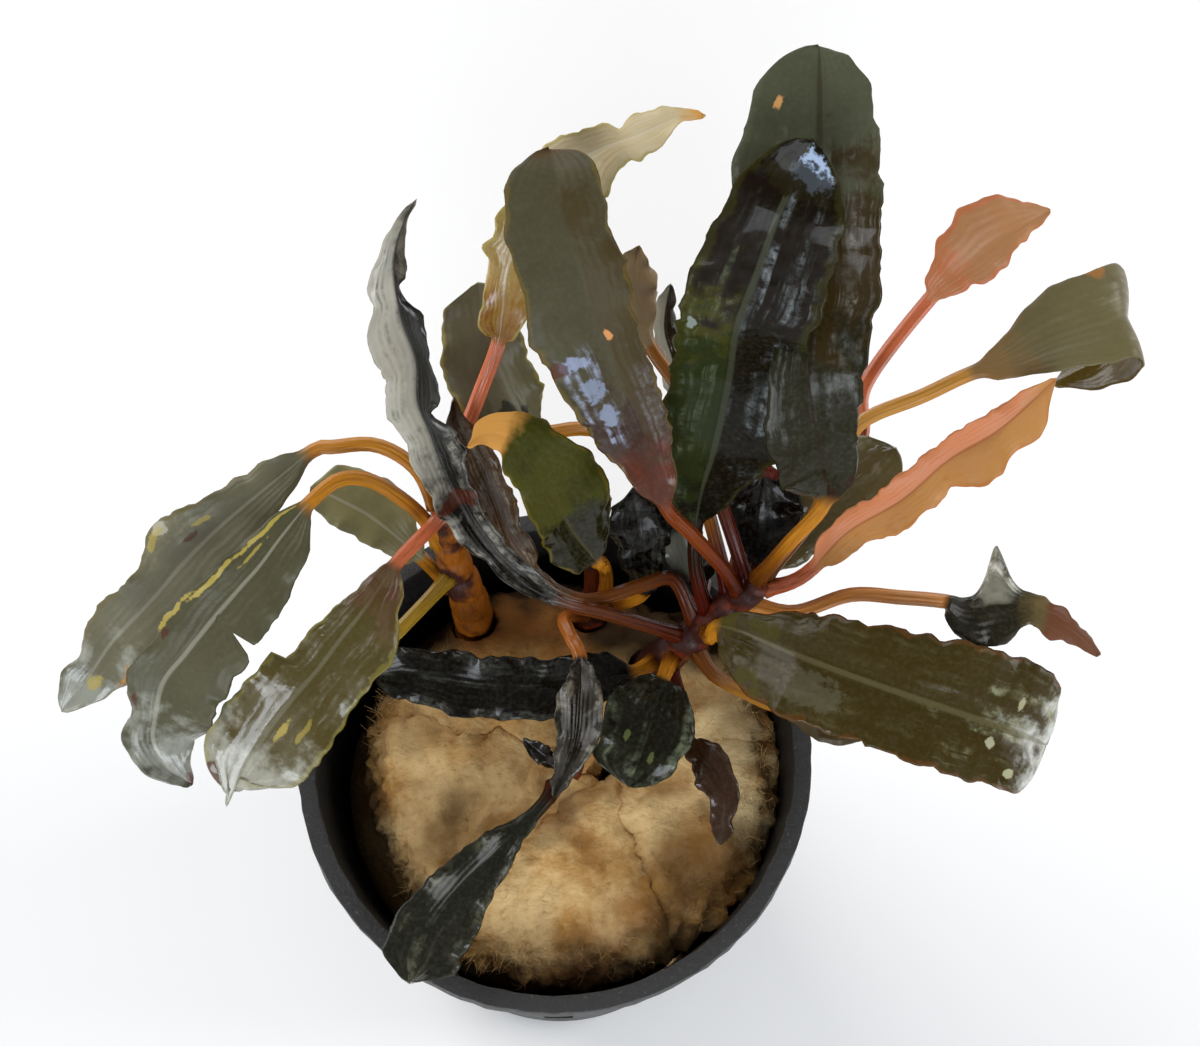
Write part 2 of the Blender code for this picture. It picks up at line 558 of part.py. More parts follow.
def wool_piece(name, first, second):
    """The part of the plug between two clefts, which start at WOOL_MIDDLE."""
    bm = wool_block()
    for end, sign in ((first, 1), (second, -1)):
        way = (Vector((*end, 0)) - WOOL_MIDDLE).normalized()
        inwards = sign * Vector((-way.y, way.x, 0))
        split = bmesh.ops.bisect_plane(bm, geom=bm.verts[:] + bm.edges[:] + bm.faces[:],
                                       plane_co=WOOL_MIDDLE + inwards * CLEFT / 2,
                                       plane_no=inwards, clear_inner=True)
        border = [item for item in split["geom_cut"] if isinstance(item, bmesh.types.BMEdge)]
        bmesh.ops.edgeloop_fill(bm, edges=border)
    bmesh.ops.triangulate(bm, faces=[face for face in bm.faces if len(face.verts) > 4])
    return add_object(name, bm, "wool")


def stem_hole(name):
    """The room that a stem keeps clear of the wool around it."""
    spots = [spot for spot in stem_core(name) if spot[0].z < WOOL_TOP + STEM_HOLE_RISE]
    chosen = [spots[0], spots[len(spots) // 2], spots[-1]]
    centres = [middle for middle, _ in chosen]
    centres[0] = centres[0] - Vector((0, 0, STEM_ROOM))
    rings = [round_ring(centre, run, radius + STEM_ROOM / 2)
             for centre, (_, radius), run in zip(centres, chosen, directions(centres))]
    return make_cutter(f"hole_for_{name}", draw_out(rings))


def make_wool():
    ends = list(CLEFT_TOWARDS.values())
    pieces = []
    for index, name in enumerate(CLEFT_TOWARDS):
        after = ends[(index + 1) % len(ends)]
        pieces.append(wool_piece(f"rock_wool_{name}", ends[index], after))
    for name in STEMS:
        hole = stem_hole(name)
        for piece in pieces:
            cut(piece, hole)


def main():
    clear_scene()
    make_pot()
    make_wool()
    for name in STEMS:
        make_stem(name)
    for spec in LEAVES:
        make_leaf(spec)


main()
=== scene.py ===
# %% [markdown]
# # A bucephalandra in a small net pot
# A bucephalandra is a slow water plant with thick creeping stems and wavy, leathery leaves. This one
# grows out of a plug of rock wool in a black net pot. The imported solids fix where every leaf, stem and
# piece of wool is. This script gives each of them its real skin: thin wavy blades, ridged stalks, loose
# wool and moulded plastic. All values are millimetres until a mesh is finished.

# %% Load the frame
import random
from math import atan2, copysign, cos, degrees, exp, hypot, pi, radians, sin, sqrt, tau

import bmesh
import bpy
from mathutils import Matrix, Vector, noise


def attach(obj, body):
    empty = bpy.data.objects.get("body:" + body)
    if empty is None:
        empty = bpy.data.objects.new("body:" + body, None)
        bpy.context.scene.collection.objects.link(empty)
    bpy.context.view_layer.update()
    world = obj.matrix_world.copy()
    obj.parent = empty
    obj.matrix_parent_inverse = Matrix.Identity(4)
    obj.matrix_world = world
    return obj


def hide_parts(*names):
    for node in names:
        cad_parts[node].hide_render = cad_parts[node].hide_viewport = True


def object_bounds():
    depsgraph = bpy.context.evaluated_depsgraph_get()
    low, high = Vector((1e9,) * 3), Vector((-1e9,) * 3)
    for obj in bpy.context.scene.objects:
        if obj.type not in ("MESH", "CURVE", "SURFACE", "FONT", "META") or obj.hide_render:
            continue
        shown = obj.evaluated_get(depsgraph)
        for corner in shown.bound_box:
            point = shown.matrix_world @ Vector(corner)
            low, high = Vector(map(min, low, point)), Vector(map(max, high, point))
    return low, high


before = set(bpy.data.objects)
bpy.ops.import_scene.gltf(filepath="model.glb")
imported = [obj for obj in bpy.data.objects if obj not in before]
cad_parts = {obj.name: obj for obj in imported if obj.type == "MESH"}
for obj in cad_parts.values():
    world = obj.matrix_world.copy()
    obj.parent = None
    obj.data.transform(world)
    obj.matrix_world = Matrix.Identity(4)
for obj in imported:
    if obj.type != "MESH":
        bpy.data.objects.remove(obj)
cad_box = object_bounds()
MM = 0.001
cad_size = cad_box[1] - cad_box[0]
print("solids:", len(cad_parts), "box in mm:", [round(side / MM, 1) for side in cad_size])


def new_object(name, data):
    made = bpy.data.objects.new(name, data)
    bpy.context.scene.collection.objects.link(made)
    return made


def mesh_from(bm, name):
    """The mesh that finished work in bmesh leaves."""
    mesh = bpy.data.meshes.new(name)
    bm.to_mesh(mesh)
    bm.free()
    return mesh


def settled(made):
    """The mesh of an object with its modifiers applied. The object itself goes."""
    mesh = bpy.data.meshes.new_from_object(made.evaluated_get(bpy.context.evaluated_depsgraph_get()))
    bpy.data.objects.remove(made)
    return mesh


# %% [markdown]
# ## The camera
# The picture looks down on the plant at 72 degrees. The rim of the pot fixed that angle: a circle seen
# from there is squeezed to the ellipse that shows. A camera is placed by its distance and its pitch, so
# both are values here, and the lens follows from how wide the rim is in the picture.

# %% Place the camera
AIM = Vector((4.4, 24.0, 50.0))
DISTANCE = 350.0
PITCH = radians(72)
LENS = 105.66
SENSOR_WIDTH = 36.0
CLIP_START = 0.01

camera = new_object("camera", bpy.data.cameras.new("camera"))
camera.data.lens = LENS
camera.data.sensor_width = SENSOR_WIDTH
camera.data.clip_start = CLIP_START
camera.location = (AIM + DISTANCE * Vector((0, -cos(PITCH), sin(PITCH)))) * MM
camera.rotation_euler = (pi / 2 - PITCH, 0, 0)
bpy.context.scene.camera = camera
bpy.context.scene.view_settings.view_transform = "Standard"
print("camera at, in mm:", [round(value / MM) for value in camera.location])

# %% [markdown]
# ## Floor and light
# A pale floor and a pale sky light the plant softly from all round. The sky is brighter near the
# horizon, so the leaves that turn away from the camera catch a white sheen, as wet leaves do. One
# slightly blue window stands low in front and draws the long highlights on the wet skin. Two large warm
# and white lamps at the sides fill in.

# %% Lay the floor and hang the lights
FLOOR_SIZE = 6.0              # metres, like the distances and sizes of the lamps
FLOOR_WHITE = 0.93
FLOOR_ROUGH = 0.9
SKY_TOP = (0.16, 0.17, 0.19, 1)
SKY_LOW = (1.0, 1.0, 1.0, 1)
SKY_FROM, SKY_TO = 0.30, 0.80
SKY_STRENGTH = 1.15
# Where each lamp is seen from the aim, its distance, its size, its power and its colour
LIGHTS = {
    "window": ((-0.12, -1.0, 0.42), 0.9, (0.34, 0.44), 4, (0.88, 0.94, 1.0)),
    "left": ((-0.9, 0.7, 0.75), 1.2, (1.1, 0.9), 11, (1.0, 0.98, 0.95)),
    "right": ((1.0, 0.1, 0.5), 1.0, (0.5, 0.5), 4, (1.0, 1.0, 1.0)),
}

bm = bmesh.new()
bmesh.ops.create_grid(bm, x_segments=1, y_segments=1, size=FLOOR_SIZE / 2)
floor = new_object("floor", mesh_from(bm, "floor"))
floor_paint = bpy.data.materials.new("floor")
floor_paint.use_nodes = True
floor_shader = floor_paint.node_tree.nodes["Principled BSDF"].inputs
floor_shader["Base Color"].default_value = (FLOOR_WHITE, FLOOR_WHITE, FLOOR_WHITE, 1)
floor_shader["Roughness"].default_value = FLOOR_ROUGH
floor.data.materials.append(floor_paint)

for name, (towards, away, size, power, tint) in LIGHTS.items():
    lamp = bpy.data.lights.new(name, "AREA")
    lamp.shape = "RECTANGLE"
    lamp.size, lamp.size_y = size
    lamp.energy = power
    lamp.color = tint
    holder = new_object(name, lamp)
    way = Vector(towards).normalized()
    holder.location = AIM * MM + way * away
    holder.rotation_euler = way.to_track_quat("Z", "Y").to_euler()

sky = bpy.data.worlds.new("sky")
bpy.context.scene.world = sky
sky.use_nodes = True
sky_nodes = sky.node_tree.nodes
join = sky.node_tree.links.new
height = sky_nodes.new("ShaderNodeSeparateXYZ")
sky_ramp = sky_nodes.new("ShaderNodeValToRGB")
for stop, place, colour in zip(sky_ramp.color_ramp.elements, (SKY_FROM, SKY_TO), (SKY_LOW, SKY_TOP)):
    stop.position = place
    stop.color = colour
join(sky_nodes.new("ShaderNodeTexCoord").outputs["Generated"], height.inputs[0])
join(height.outputs["Z"], sky_ramp.inputs["Fac"])
join(sky_ramp.outputs["Color"], sky_nodes["Background"].inputs["Color"])
sky_nodes["Background"].inputs["Strength"].default_value = SKY_STRENGTH
print("lamps:", len(LIGHTS))

# %% [markdown]
# ## Small helpers for shader nodes
# A procedural material is a net of small nodes. Adding each one by hand takes many lines. So what a node
# puts out is wrapped in a value here, and a sum written with such values adds the nodes that work it out.

# %% Write the node helpers
class Value:
    """What a node puts out. A sum with it adds a math node to the same net."""

    def __init__(self, socket):
        self.socket = socket
        self.tree = socket.id_data

    def __add__(self, other):
        return calc("ADD", self, other)

    def __sub__(self, other):
        return calc("SUBTRACT", self, other)

    def __mul__(self, other):
        return calc("MULTIPLY", self, other)

    def __truediv__(self, other):
        return calc("DIVIDE", self, other)


def feed(socket, value):
    """Link a socket to what a node puts out, or set it to a plain value."""
    if isinstance(value, Value):
        value.tree.links.new(value.socket, socket)
    else:
        socket.default_value = value


def add_node(kind, inputs, output=0, **settings):
    """Add a node beside the ones that feed it, and hand back what it puts out."""
    tree = next(value.tree for value in inputs.values() if isinstance(value, Value))
    made = tree.nodes.new("ShaderNode" + kind)
    for key, value in settings.items():
        setattr(made, key, value)
    for key, value in inputs.items():
        feed(made.inputs[key], value)
    return Value(made.outputs[output])


def calc(operation, *values):
    return add_node("Math", dict(enumerate(values)), operation=operation)


def rise(value, low, high):
    """0 below low, 1 above high and smooth between. It falls where high is the smaller one."""
    return add_node("MapRange", {0: value, 1: low, 2: high}, interpolation_type="SMOOTHSTEP")


def cloud(where, scale, detail=2.0, rough=0.5):
    return add_node("TexNoise", {"Vector": where, "Scale": scale, "Detail": detail, "Roughness": rough})


def lay_over(share, under, over):
    """The colour over another one, at that share."""
    return add_node("Mix", {0: share, 6: under, 7: over}, output=2, data_type="RGBA")


def stretched(where, scale):
    return add_node("Mapping", {"Vector": where, "Scale": scale})


def parts(vector):
    """The X, Y and Z of a vector."""
    return [add_node("SeparateXYZ", {0: vector}, output=index) for index in range(3)]


def distance(x, y):
    return calc("SQRT", x * x + y * y)


def bump(height, strength, depth, under=None):
    inputs = {"Height": height, "Strength": strength, "Distance": depth * MM}
    if under:
        inputs["Normal"] = under
    return add_node("Bump", inputs)


# %% [markdown]
# ## What all leaves share
# Every leaf carries an attribute called leaf. Its X runs from -1 at the left margin to 1 at the right
# one, its Y from -1 at the stalk's foot to 0 where the blade starts and 1 at the tip, and its Z tells the
# upper face from the lower one. A pattern on that attribute follows the leaf wherever it bends, which a
# pattern in space would not. Four effects use it: the ribs that run along the blade, a blotch or a
# painted glint at one place, a band along the leaf, such as the part that is wet, and lengthwise streaks
# of painted shine.

# %% Start and use a node group
def new_group(name, inputs, outputs):
    """An empty group that takes the leaf attribute, the place in space and some more values."""
    group = bpy.data.node_groups.new(name, "ShaderNodeTree")
    for label in ("Leaf", "Place"):
        group.interface.new_socket(label, in_out="INPUT", socket_type="NodeSocketVector")
    for way, labels in (("INPUT", inputs), ("OUTPUT", outputs)):
        for label in labels:
            group.interface.new_socket(label, in_out=way, socket_type="NodeSocketFloat")
    taken_in = group.nodes.new("NodeGroupInput").outputs[:-1]
    return group, [Value(socket) for socket in taken_in], group.nodes.new("NodeGroupOutput").inputs


def use_group(group, leaf, place, *values):
    """Place a group in a leaf's material, with its own values, and hand back what it puts out."""
    made = leaf.tree.nodes.new("ShaderNodeGroup")
    made.node_tree = group
    for socket, value in zip(made.inputs, (leaf, place, *values)):
        feed(socket, value)
    return [Value(socket) for socket in made.outputs]


# %% Build the rib and blotch groups
rib_group, (leaf, place, ribs, lean), put_out = new_group(
    "leaf ribs", ("Ribs", "Lean"), ("Height", "Midrib"))
across, along, _ = parts(leaf)
aside = calc("ABSOLUTE", across)
phase = aside + cloud(place, 0.16, detail=1.0) * 0.3 + along * lean
feed(put_out["Height"], calc("SINE", phase * (ribs * tau)) * rise(aside, 0.02, 0.15))
feed(put_out["Midrib"], rise(aside, 0.07, 0.025))

# This group draws real blotches and also painted glints and highlights.
blotch_and_glint_group, (leaf, place, middle_across, middle_along, width, length), put_out = new_group(
    "blotch", ("Across", "Along", "Width", "Length"), ("Mask",))
across, along, _ = parts(leaf)
far = distance((across - middle_across) / width, (along - middle_along) / length)
torn = (cloud(place, 0.9, detail=4.0, rough=0.65) - 0.5) * 2.6
feed(put_out["Mask"], rise(far + torn, 1.15, 0.75))

# %% Build the band and streak groups
band_group, (leaf, place, start, stop, ragged, soft), put_out = new_group(
    "band along the leaf", ("From", "To", "Ragged", "Soft"), ("Mask",))
along = parts(leaf)[1] + (cloud(place, 0.3, detail=4.0, rough=0.6) - 0.5) * ragged
feed(put_out["Mask"], rise(along, start - soft, start + soft) * rise(along, stop + soft, stop - soft))

# The lengthwise streaks mostly carry painted shine: greyish and white zones laid through them are painted
# wet highlights.
streak_group, (leaf, place, finer), put_out = new_group("lengthwise streaks", ("Finer",), ("Mask",))
lines = cloud(stretched(leaf, (6.0, 1.6, 1.0)), finer, detail=3.0, rough=0.6)
broken = rise(cloud(place, 0.35, detail=3.0), 0.36, 0.6)
speckled = rise(cloud(place, 1.1, detail=4.0, rough=0.65), 0.34, 0.66)
feed(put_out["Mask"], rise(lines, 0.44, 0.66) * (broken * speckled))
print("node groups:", len(bpy.data.node_groups))

# %% [markdown]
# ## The skin of a leaf
# A real leaf of this plant is leathery. Where it has dried it is matte and greyish, where it is wet it is
# nearly black with sharp highlights, and old leaves have yellow and brown patches. One function lays
# those parts over each other for each leaf. Gloss comes from roughness, a thin coat and how strongly the
# skin reflects, so those highlights move as they should. Much of the pale shine is painted into the
# colour instead, as greyish and white zones and blotches: painted sheen, streaks of shine and window
# highlights that stay put. A colour is given as it shows in the picture, from 0 to 255, and the paint for
# it is a little darker, because the pale room adds its reflection.

# %% Choose the leaf colours
SHEEN = 0.022                 # what the pale room adds to a leaf by reflection
DARKEST = 0.4                 # the least share of a colour that stays in its paint
LIGHT_LEVEL = 1.1             # how bright a white sheet would be beside the leaves
DRY_ROUGH = 0.42
WET_ROUGH = 0.12
STALK_ROUGH = 0.24
SMOOTHEST = 0.08
RIBS = 5
RIB_LEAN = 0.25
DARK = (48, 43, 29)
OLIVE = (78, 68, 40)
BLACK = (34, 30, 21)
ORANGE = (190, 128, 52)
SALMON = (204, 112, 78)
YELLOW = (178, 160, 84)
BROWN = (84, 52, 28)
PALE = (190, 188, 172)
STALK_FOOT = (86, 38, 22)
ALL_WET = (-0.2, 2)           # from below the blade's start to past its tip
NEVER_WET = (2, 3)


def paint(red, green, blue):
    """A colour given as a screen shows it, turned into the linear values a shader works with."""
    return tuple((value / 255) ** 2.2 for value in (red, green, blue)) + (1.0,)


def leaf_paint(colour):
    """The paint of a leaf that shows as this colour, once the light and the room's reflection are added."""
    return tuple(max(value - SHEEN, DARKEST * value) / LIGHT_LEVEL for value in paint(*colour)[:3]) + (1.0,)


def mixed(share, under, over):
    return tuple(low + (high - low) * share for low, high in zip(under, over))


# %% Write the leaf material
def new_material(name):
    """A material, the inputs of its shader and the place in millimetres."""
    made = bpy.data.materials.new(name)
    made.use_nodes = True
    nodes = made.node_tree.nodes
    place = stretched(Value(nodes.new("ShaderNodeTexCoord").outputs["Object"]), (1 / MM, 1 / MM, 1 / MM))
    return made, nodes["Principled BSDF"].inputs, place


def leaf_attribute(place):
    """The leaf attribute, in the material that the place belongs to."""
    attribute = place.tree.nodes.new("ShaderNodeAttribute")
    attribute.attribute_name = "leaf"
    return Value(attribute.outputs["Vector"])


def dress(shader, looks):
    for label, value in looks.items():
        feed(shader[label], value)


def leaf_skin(name, dry, wet=DARK, wet_band=ALL_WET, stalk_paint=ORANGE, base=None, edge=None, rib=None,
              end=None, zones=(), blotches=(), uneven=0.3, mottle=0.4, ribbed=0.1, wrinkled=0.15,
              wet_rough=WET_ROUGH, streak_size=1.0, gloss=0.28, foot=0.7, coat=0.3):
    """The finish of one leaf.

    A zone is a colour, its share and where it starts and ends along the blade. It lies in streaks over both
    sides, unless its side (1, -1 or 0 for both) and whether it is streaked are given too. The greyish and
    whitish zones are painted sheen and streaks of shine; the others are the leaf's own colours. A blotch is
    its place and size on the leaf, its colour and its share. Many blotches are the leaf's marks; the
    blue-white, whitish and green-white ones are painted highlights and glints. foot is how much the stalk
    reddens low down.
    """
    made, shader, place = new_material(name)
    leaf = leaf_attribute(place)
    across, along, _ = parts(leaf)
    dry, wet, stalk_paint = leaf_paint(dry), leaf_paint(wet), leaf_paint(stalk_paint)

    def band(start, stop, ragged, soft=0.03):
        return use_group(band_group, leaf, place, start, stop, ragged, soft)[0]

    ridges, midrib = use_group(rib_group, leaf, place, RIBS, RIB_LEAN)
    streaks = use_group(streak_group, leaf, place, streak_size)[0]
    wetness = band(*wet_band, uneven, 0.07)
    shaded = rise(cloud(place, 0.28, detail=3.0), 0.42, 0.7) * mottle
    pores = rise(cloud(place, 2.4, detail=3.0), 0.4, 0.7) * 0.05
    colour = lay_over(wetness, dry, wet)
    colour = lay_over(shaded, colour, lay_over(0.5, colour, wet))
    colour = lay_over(pores, colour, mixed(0.4, dry, leaf_paint(PALE)))

    layers = []
    # Greyish and whitish zones paint sheen and streaks of shine into the colour: painted highlights.
    for over, share, start, stop, *rest in zones:
        side, streaked = rest or (0, True)
        mask = band(start, stop, 0.7, 0.09) * share
        if side:
            mask = mask * rise(across * side, 0.0, 0.12)
        if streaked:
            mask = mask * streaks
        layers.append((mask, over))
    if rib:
        layers.append((midrib * rib[1], rib[0]))
    if base:
        layers.append((band(-0.2, base[1], 0.4, 0.08) * rise(streaks, -0.5, 0.6) * 0.85, base[0]))
    if edge:
        rim = calc("ABSOLUTE", across) + (cloud(place, 0.6, detail=3.0) - 0.5) * 0.35
        layers.append((rise(rim, 1 - edge[1], 1 - edge[1] * 0.4) * edge[2], edge[0]))
    if end:
        layers.append((band(end[1], 2.0, 0.12), end[0]))
    # Blue-white, whitish and green-white blotches are painted highlights and glints; the rest are marks.
    for *spot, over, share in blotches:
        layers.append((use_group(blotch_and_glint_group, leaf, place, *spot)[0] * share, over))
    for mask, over in layers:
        colour = lay_over(mask, colour, leaf_paint(over))

    on_stalk = rise(along, 0.045, -0.01)
    lines = rise(cloud(stretched(leaf, (3.0, 1.2, 1.0)), 3.0), 0.42, 0.62)
    lined = lay_over(lines, stalk_paint, mixed(0.35, stalk_paint, leaf_paint(BROWN)))
    low_down = rise(along, -0.3, -0.8) * foot
    colour = lay_over(on_stalk, colour, lay_over(low_down, lined, leaf_paint(STALK_FOOT)))

    smooth = wetness * rise(cloud(place, 0.4), 0.75, 0.5)
    rough = smooth * (wet_rough - DRY_ROUGH) + DRY_ROUGH + on_stalk * (STALK_ROUGH - DRY_ROUGH)
    furrows = bump(ridges, ribbed, 0.18)
    drawn_out = bump(cloud(stretched(leaf, (4.0, 2.0, 1.0)), streak_size), wrinkled, 0.6, furrows)
    dimpled = bump(cloud(place, 0.5), wrinkled, 0.35, drawn_out)
    dress(shader, {"Base Color": colour, "Roughness": calc("MAXIMUM", rough, SMOOTHEST),
                   "Coat Weight": smooth * coat, "Coat Roughness": SMOOTHEST, "Specular IOR Level": gloss,
                   "Normal": bump(cloud(place, 1.7, detail=3.0), 0.35, 0.09, dimpled)})
    return made


# %% [markdown]
# ## The shape of a leaf
# A stalk is a small ridged rod and a blade is a thin sheet with a midrib and a ruffled margin, and one
# flows into the other. So the leaf is drawn out as one skin of rings along a smooth line: round rings on
# the stalk open into flat ones on the blade. A flat grid is rolled up into that skin, its seam is welded
# and its ends are filled, which leaves one closed piece.

# %% Set the leaf sizes
STALK_RADIUS = 0.65
BLADE_THICKNESS = 0.42
RIDGE = 0.07                  # depth of the ridges along a stalk, as a share of its radius
RIDGES = 6
FLARE = 0.45                  # how much thicker a stalk's foot is
FLARE_LENGTH = 1.2
WAVES = 3.3                   # long ripples along a margin
WAVE_LAG = 1.3
LOBE_LENGTH = 1.9             # half a wave of the margin
CRINKLE_LENGTH = 0.9          # half a wave of the finer ones
BELLY = 0.05                  # how much each half swells, as a share of its width
KEEL = 0.12                   # how far the midrib stands out above
UNDER_KEEL = 0.45             # how far it stands out below
KEEL_WIDTH = 0.5
KEEL_FADE = 0.6               # the share of the midrib's height that is gone at the tip
THIN_OUT = 0.35               # the same for the blade's thickness
LOBES_IN, LOBES_OUT = 5, 6    # how fast the lobes grow from the foot and fade to the tip
LEAST_ROUND = 0.3             # how long the rounding of a tip is at least
LEAST_WIDTH = 0.05
FLAT_FROM = 0.4               # share of the blade from which it is surely open
RAGGED_FROM = 0.8             # share of the blade from which a torn tip is ragged
READ_AT = (0.1, 0.3, 0.5, 0.7, 0.9)
AROUND = 56
BLADE_RINGS = 84
STALK_RING_STEP = 1.0
FREE_START = 8.0              # a stalk that starts further than this from its stem keeps its start
SINK = 0.5                    # how deep a stalk's foot sits in its stem
STALK_REACH = 0.8             # how far along the line its direction is taken
BLADE_REACH = 0.9             # the same on the blade, as a share of its half width
WELD = 0.00001                # points nearer than this become one
FINE_STEPS = 12
LINE_POINTS = 401
CORE_POINTS = 25
TOWARDS_VIEWER = (0.0, -0.3, 1.0)
STEMS = {
    "stem_left": ([(-8, 14, 41), (-8.5, 16, 50), (-10, 18.5, 57), (-10.5, 20.5, 65)],
                  (2.0, 1.9, 1.6, 1.3)),
    "stem_right": ([(8, 9.5, 42), (11, 10.5, 50), (14, 11.5, 54), (17, 13, 58), (20, 14, 63)],
                   (2.0, 1.9, 1.7, 1.6, 1.2)),
    "stem_middle": ([(1, 15, 41), (3, 15.5, 46), (5.5, 15.5, 51)],
                    (1.5, 1.5, 1.2)),
}


# %% Write the line helpers
def part_way(values, spot):
    """What lies between two entries of a list, at a place that need not be a whole number."""
    low = min(int(spot), len(values) - 2)
    return values[low] + (values[low + 1] - values[low]) * (spot - low)


def smooth_line(points, count):
    """Points at even steps along a smooth line through the given points."""
    points = [Vector(point) for point in points]
    padded = [2 * points[0] - points[1], *points, 2 * points[-1] - points[-2]]
    fine = []
    for a, b, c, d in zip(padded, padded[1:], padded[2:], padded[3:]):
        for step in range(FINE_STEPS):
            t = step / FINE_STEPS
            fine.append(0.5 * (2 * b + (c - a) * t + (2 * a - 5 * b + 4 * c - d) * t ** 2
                               + (3 * b - a - 3 * c + d) * t ** 3))
    fine.append(points[-1])
    lengths = [0.0]
    for before, after in zip(fine, fine[1:]):
        lengths.append(lengths[-1] + (after - before).length)
    line = []
    at = 0
    for index in range(count):
        wanted = lengths[-1] * index / (count - 1)
        while at < len(fine) - 2 and lengths[at + 1] < wanted:
            at += 1
        share = (wanted - lengths[at]) / (lengths[at + 1] - lengths[at])
        line.append(fine[at].lerp(fine[at + 1], min(share, 1.0)))
    return line


def directions(line):
    last = len(line) - 1
    return [(line[min(at + 1, last)] - line[max(at - 1, 0)]).normalized() for at in range(last + 1)]


def nearest(line, point):
    """The index of the line's point that lies nearest."""
    return min(range(len(line)), key=lambda index: (line[index] - point).length)


def ease(value):
    value = min(max(value, 0.0), 1.0)
    return value * value * (3 - 2 * value)


def start_on_stem(stem, stalk):
    """A stalk's first point, moved a little into the skin of the stem that carries it."""
    first, second = Vector(stalk[0]), Vector(stalk[1])
    points, radii = STEMS[stem]
    core = smooth_line(points, CORE_POINTS)
    at = nearest(core, first)
    if (core[at] - first).length > FREE_START:
        return first
    run = directions(core)[at]
    way = (second - core[at]).normalized()
    outwards = (way - run * way.dot(run)).normalized()
    radius = part_way(radii, at / (CORE_POINTS - 1) * (len(radii) - 1))
    return core[at] + outwards * (radius - SINK)


# %% Write the rolled skin
def add_piece(name, mesh, finish, stands_for=None):
    """A finished mesh becomes a piece of the object."""
    mesh.shade_smooth()
    mesh.materials.append(finish)
    piece = new_object(name, mesh)
    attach(piece, "root")
    if stands_for:
        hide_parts(stands_for)


def rolled_skin(name, rings, marks):
    """A closed skin over rings of points. marks holds the value of the leaf attribute at each point."""
    around = len(rings[0])
    bm = bmesh.new()
    bmesh.ops.create_grid(bm, x_segments=around, y_segments=len(rings) - 1, size=1.0)
    layer = bm.verts.layers.float_vector.new("leaf")
    for vert in bm.verts:
        column = round((vert.co.x + 1) / 2 * around) % around
        row = round((vert.co.y + 1) / 2 * (len(rings) - 1))
        vert[layer] = marks[row][column]
        vert.co = rings[row][column]
    bmesh.ops.remove_doubles(bm, verts=bm.verts, dist=WELD)
    bmesh.ops.holes_fill(bm, edges=[edge for edge in bm.edges if edge.is_boundary], sides=around)
    bmesh.ops.recalc_face_normals(bm, faces=bm.faces)
    bmesh.ops.scale(bm, vec=(MM, MM, MM), verts=bm.verts)
    return mesh_from(bm, name)


# %% Write how wide a blade is
def half_width(side, tip, t):
    """Half the blade's width on one side at the share t of its length."""
    places = (0.0, *READ_AT, 1.0)
    widths = (STALK_RADIUS, *side, tip)
    for index in range(len(places) - 1):
        if t <= places[index + 1]:
            break
    low = widths[max(index - 1, 0)]
    high = widths[min(index + 2, len(widths) - 1)]
    here, there = widths[index], widths[index + 1]
    u = (t - places[index]) / (places[index + 1] - places[index])
    wide = here + 0.5 * u * (there - low + u * (2 * low - 5 * here + 4 * there - high
                                                + u * (3 * (here - there) + high - low)))
    return max(wide, tip if t > 0.5 else STALK_RADIUS / 2)


def unsteady(seeds, at):
    """A smooth random number, mostly between -1.5 and 1.5, for a place along a margin."""
    return 2.4 * (noise.noise((at / LOBE_LENGTH, seeds[0], 0.5))
                  + 0.5 * noise.noise((at / CRINKLE_LENGTH, seeds[1], 0.5)))


def margin(side, tip, t, length, lobe, seeds, notches):
    """Half the blade's width with its lobes, its notches and its rounded tip."""
    fade = min(1.0, LOBES_IN * t) * min(1.0, LOBES_OUT * (1 - t))
    width = half_width(side, tip, t) + lobe * fade * unsteady(seeds, t * length)
    for place, depth, reach in notches:
        width -= depth * exp(-((t - place) * length / reach) ** 2)
    round_off = max(min(width, 0.9 * tip + 0.5), LEAST_ROUND)
    left_over = (1 - t) * length
    if left_over < round_off:
        width *= sqrt(max(1 - (1 - left_over / round_off) ** 2, 0.0))
    return max(width, LEAST_WIDTH)


# %% Write how a blade is turned
def carried_sideways(runs, foot, face, curls):
    """The sideways direction at each ring: facing one way, or carried along a curling line."""
    face = Vector(face)
    if not curls:
        return [run.cross(face).normalized() for run in runs]
    across = runs[foot].cross(face).normalized()
    carried = [across] * (foot + 1)
    for run in runs[foot + 1:]:
        across = (across - run * across.dot(run)).normalized()
        carried.append(across)
    for index in range(foot):
        along = runs[index]
        carried[index] = (carried[index] - along * carried[index].dot(along)).normalized()
    return carried


# Where each corner of a ring sits: its share from margin to margin, its face (1, -1 or 0) and its turn
SECTION = []
for index in range(AROUND):
    turn = tau * index / AROUND
    share = 0.5 * (1 - 2 * min(turn, tau - turn) / pi) + 0.5 * cos(turn)
    SECTION.append((share, 0 if index in (0, AROUND // 2) else 1 if turn < pi else -1, turn))


# %% Write the leaf shape
def ring_places(foot, step):
    """Where the rings sit: the share of the stalk, less 1, or of the blade, and the place on the line."""
    stalk_rings = max(round(foot * step / STALK_RING_STEP), 2)
    places = [(index / stalk_rings - 1, foot * index / stalk_rings) for index in range(stalk_rings)]
    for index in range(BLADE_RINGS + 1):
        even = index / BLADE_RINGS
        t = 0.7 * even + 0.3 * sin(even * pi / 2)
        places.append((t, foot + (LINE_POINTS - 1 - foot) * t))
    return stalk_rings, places


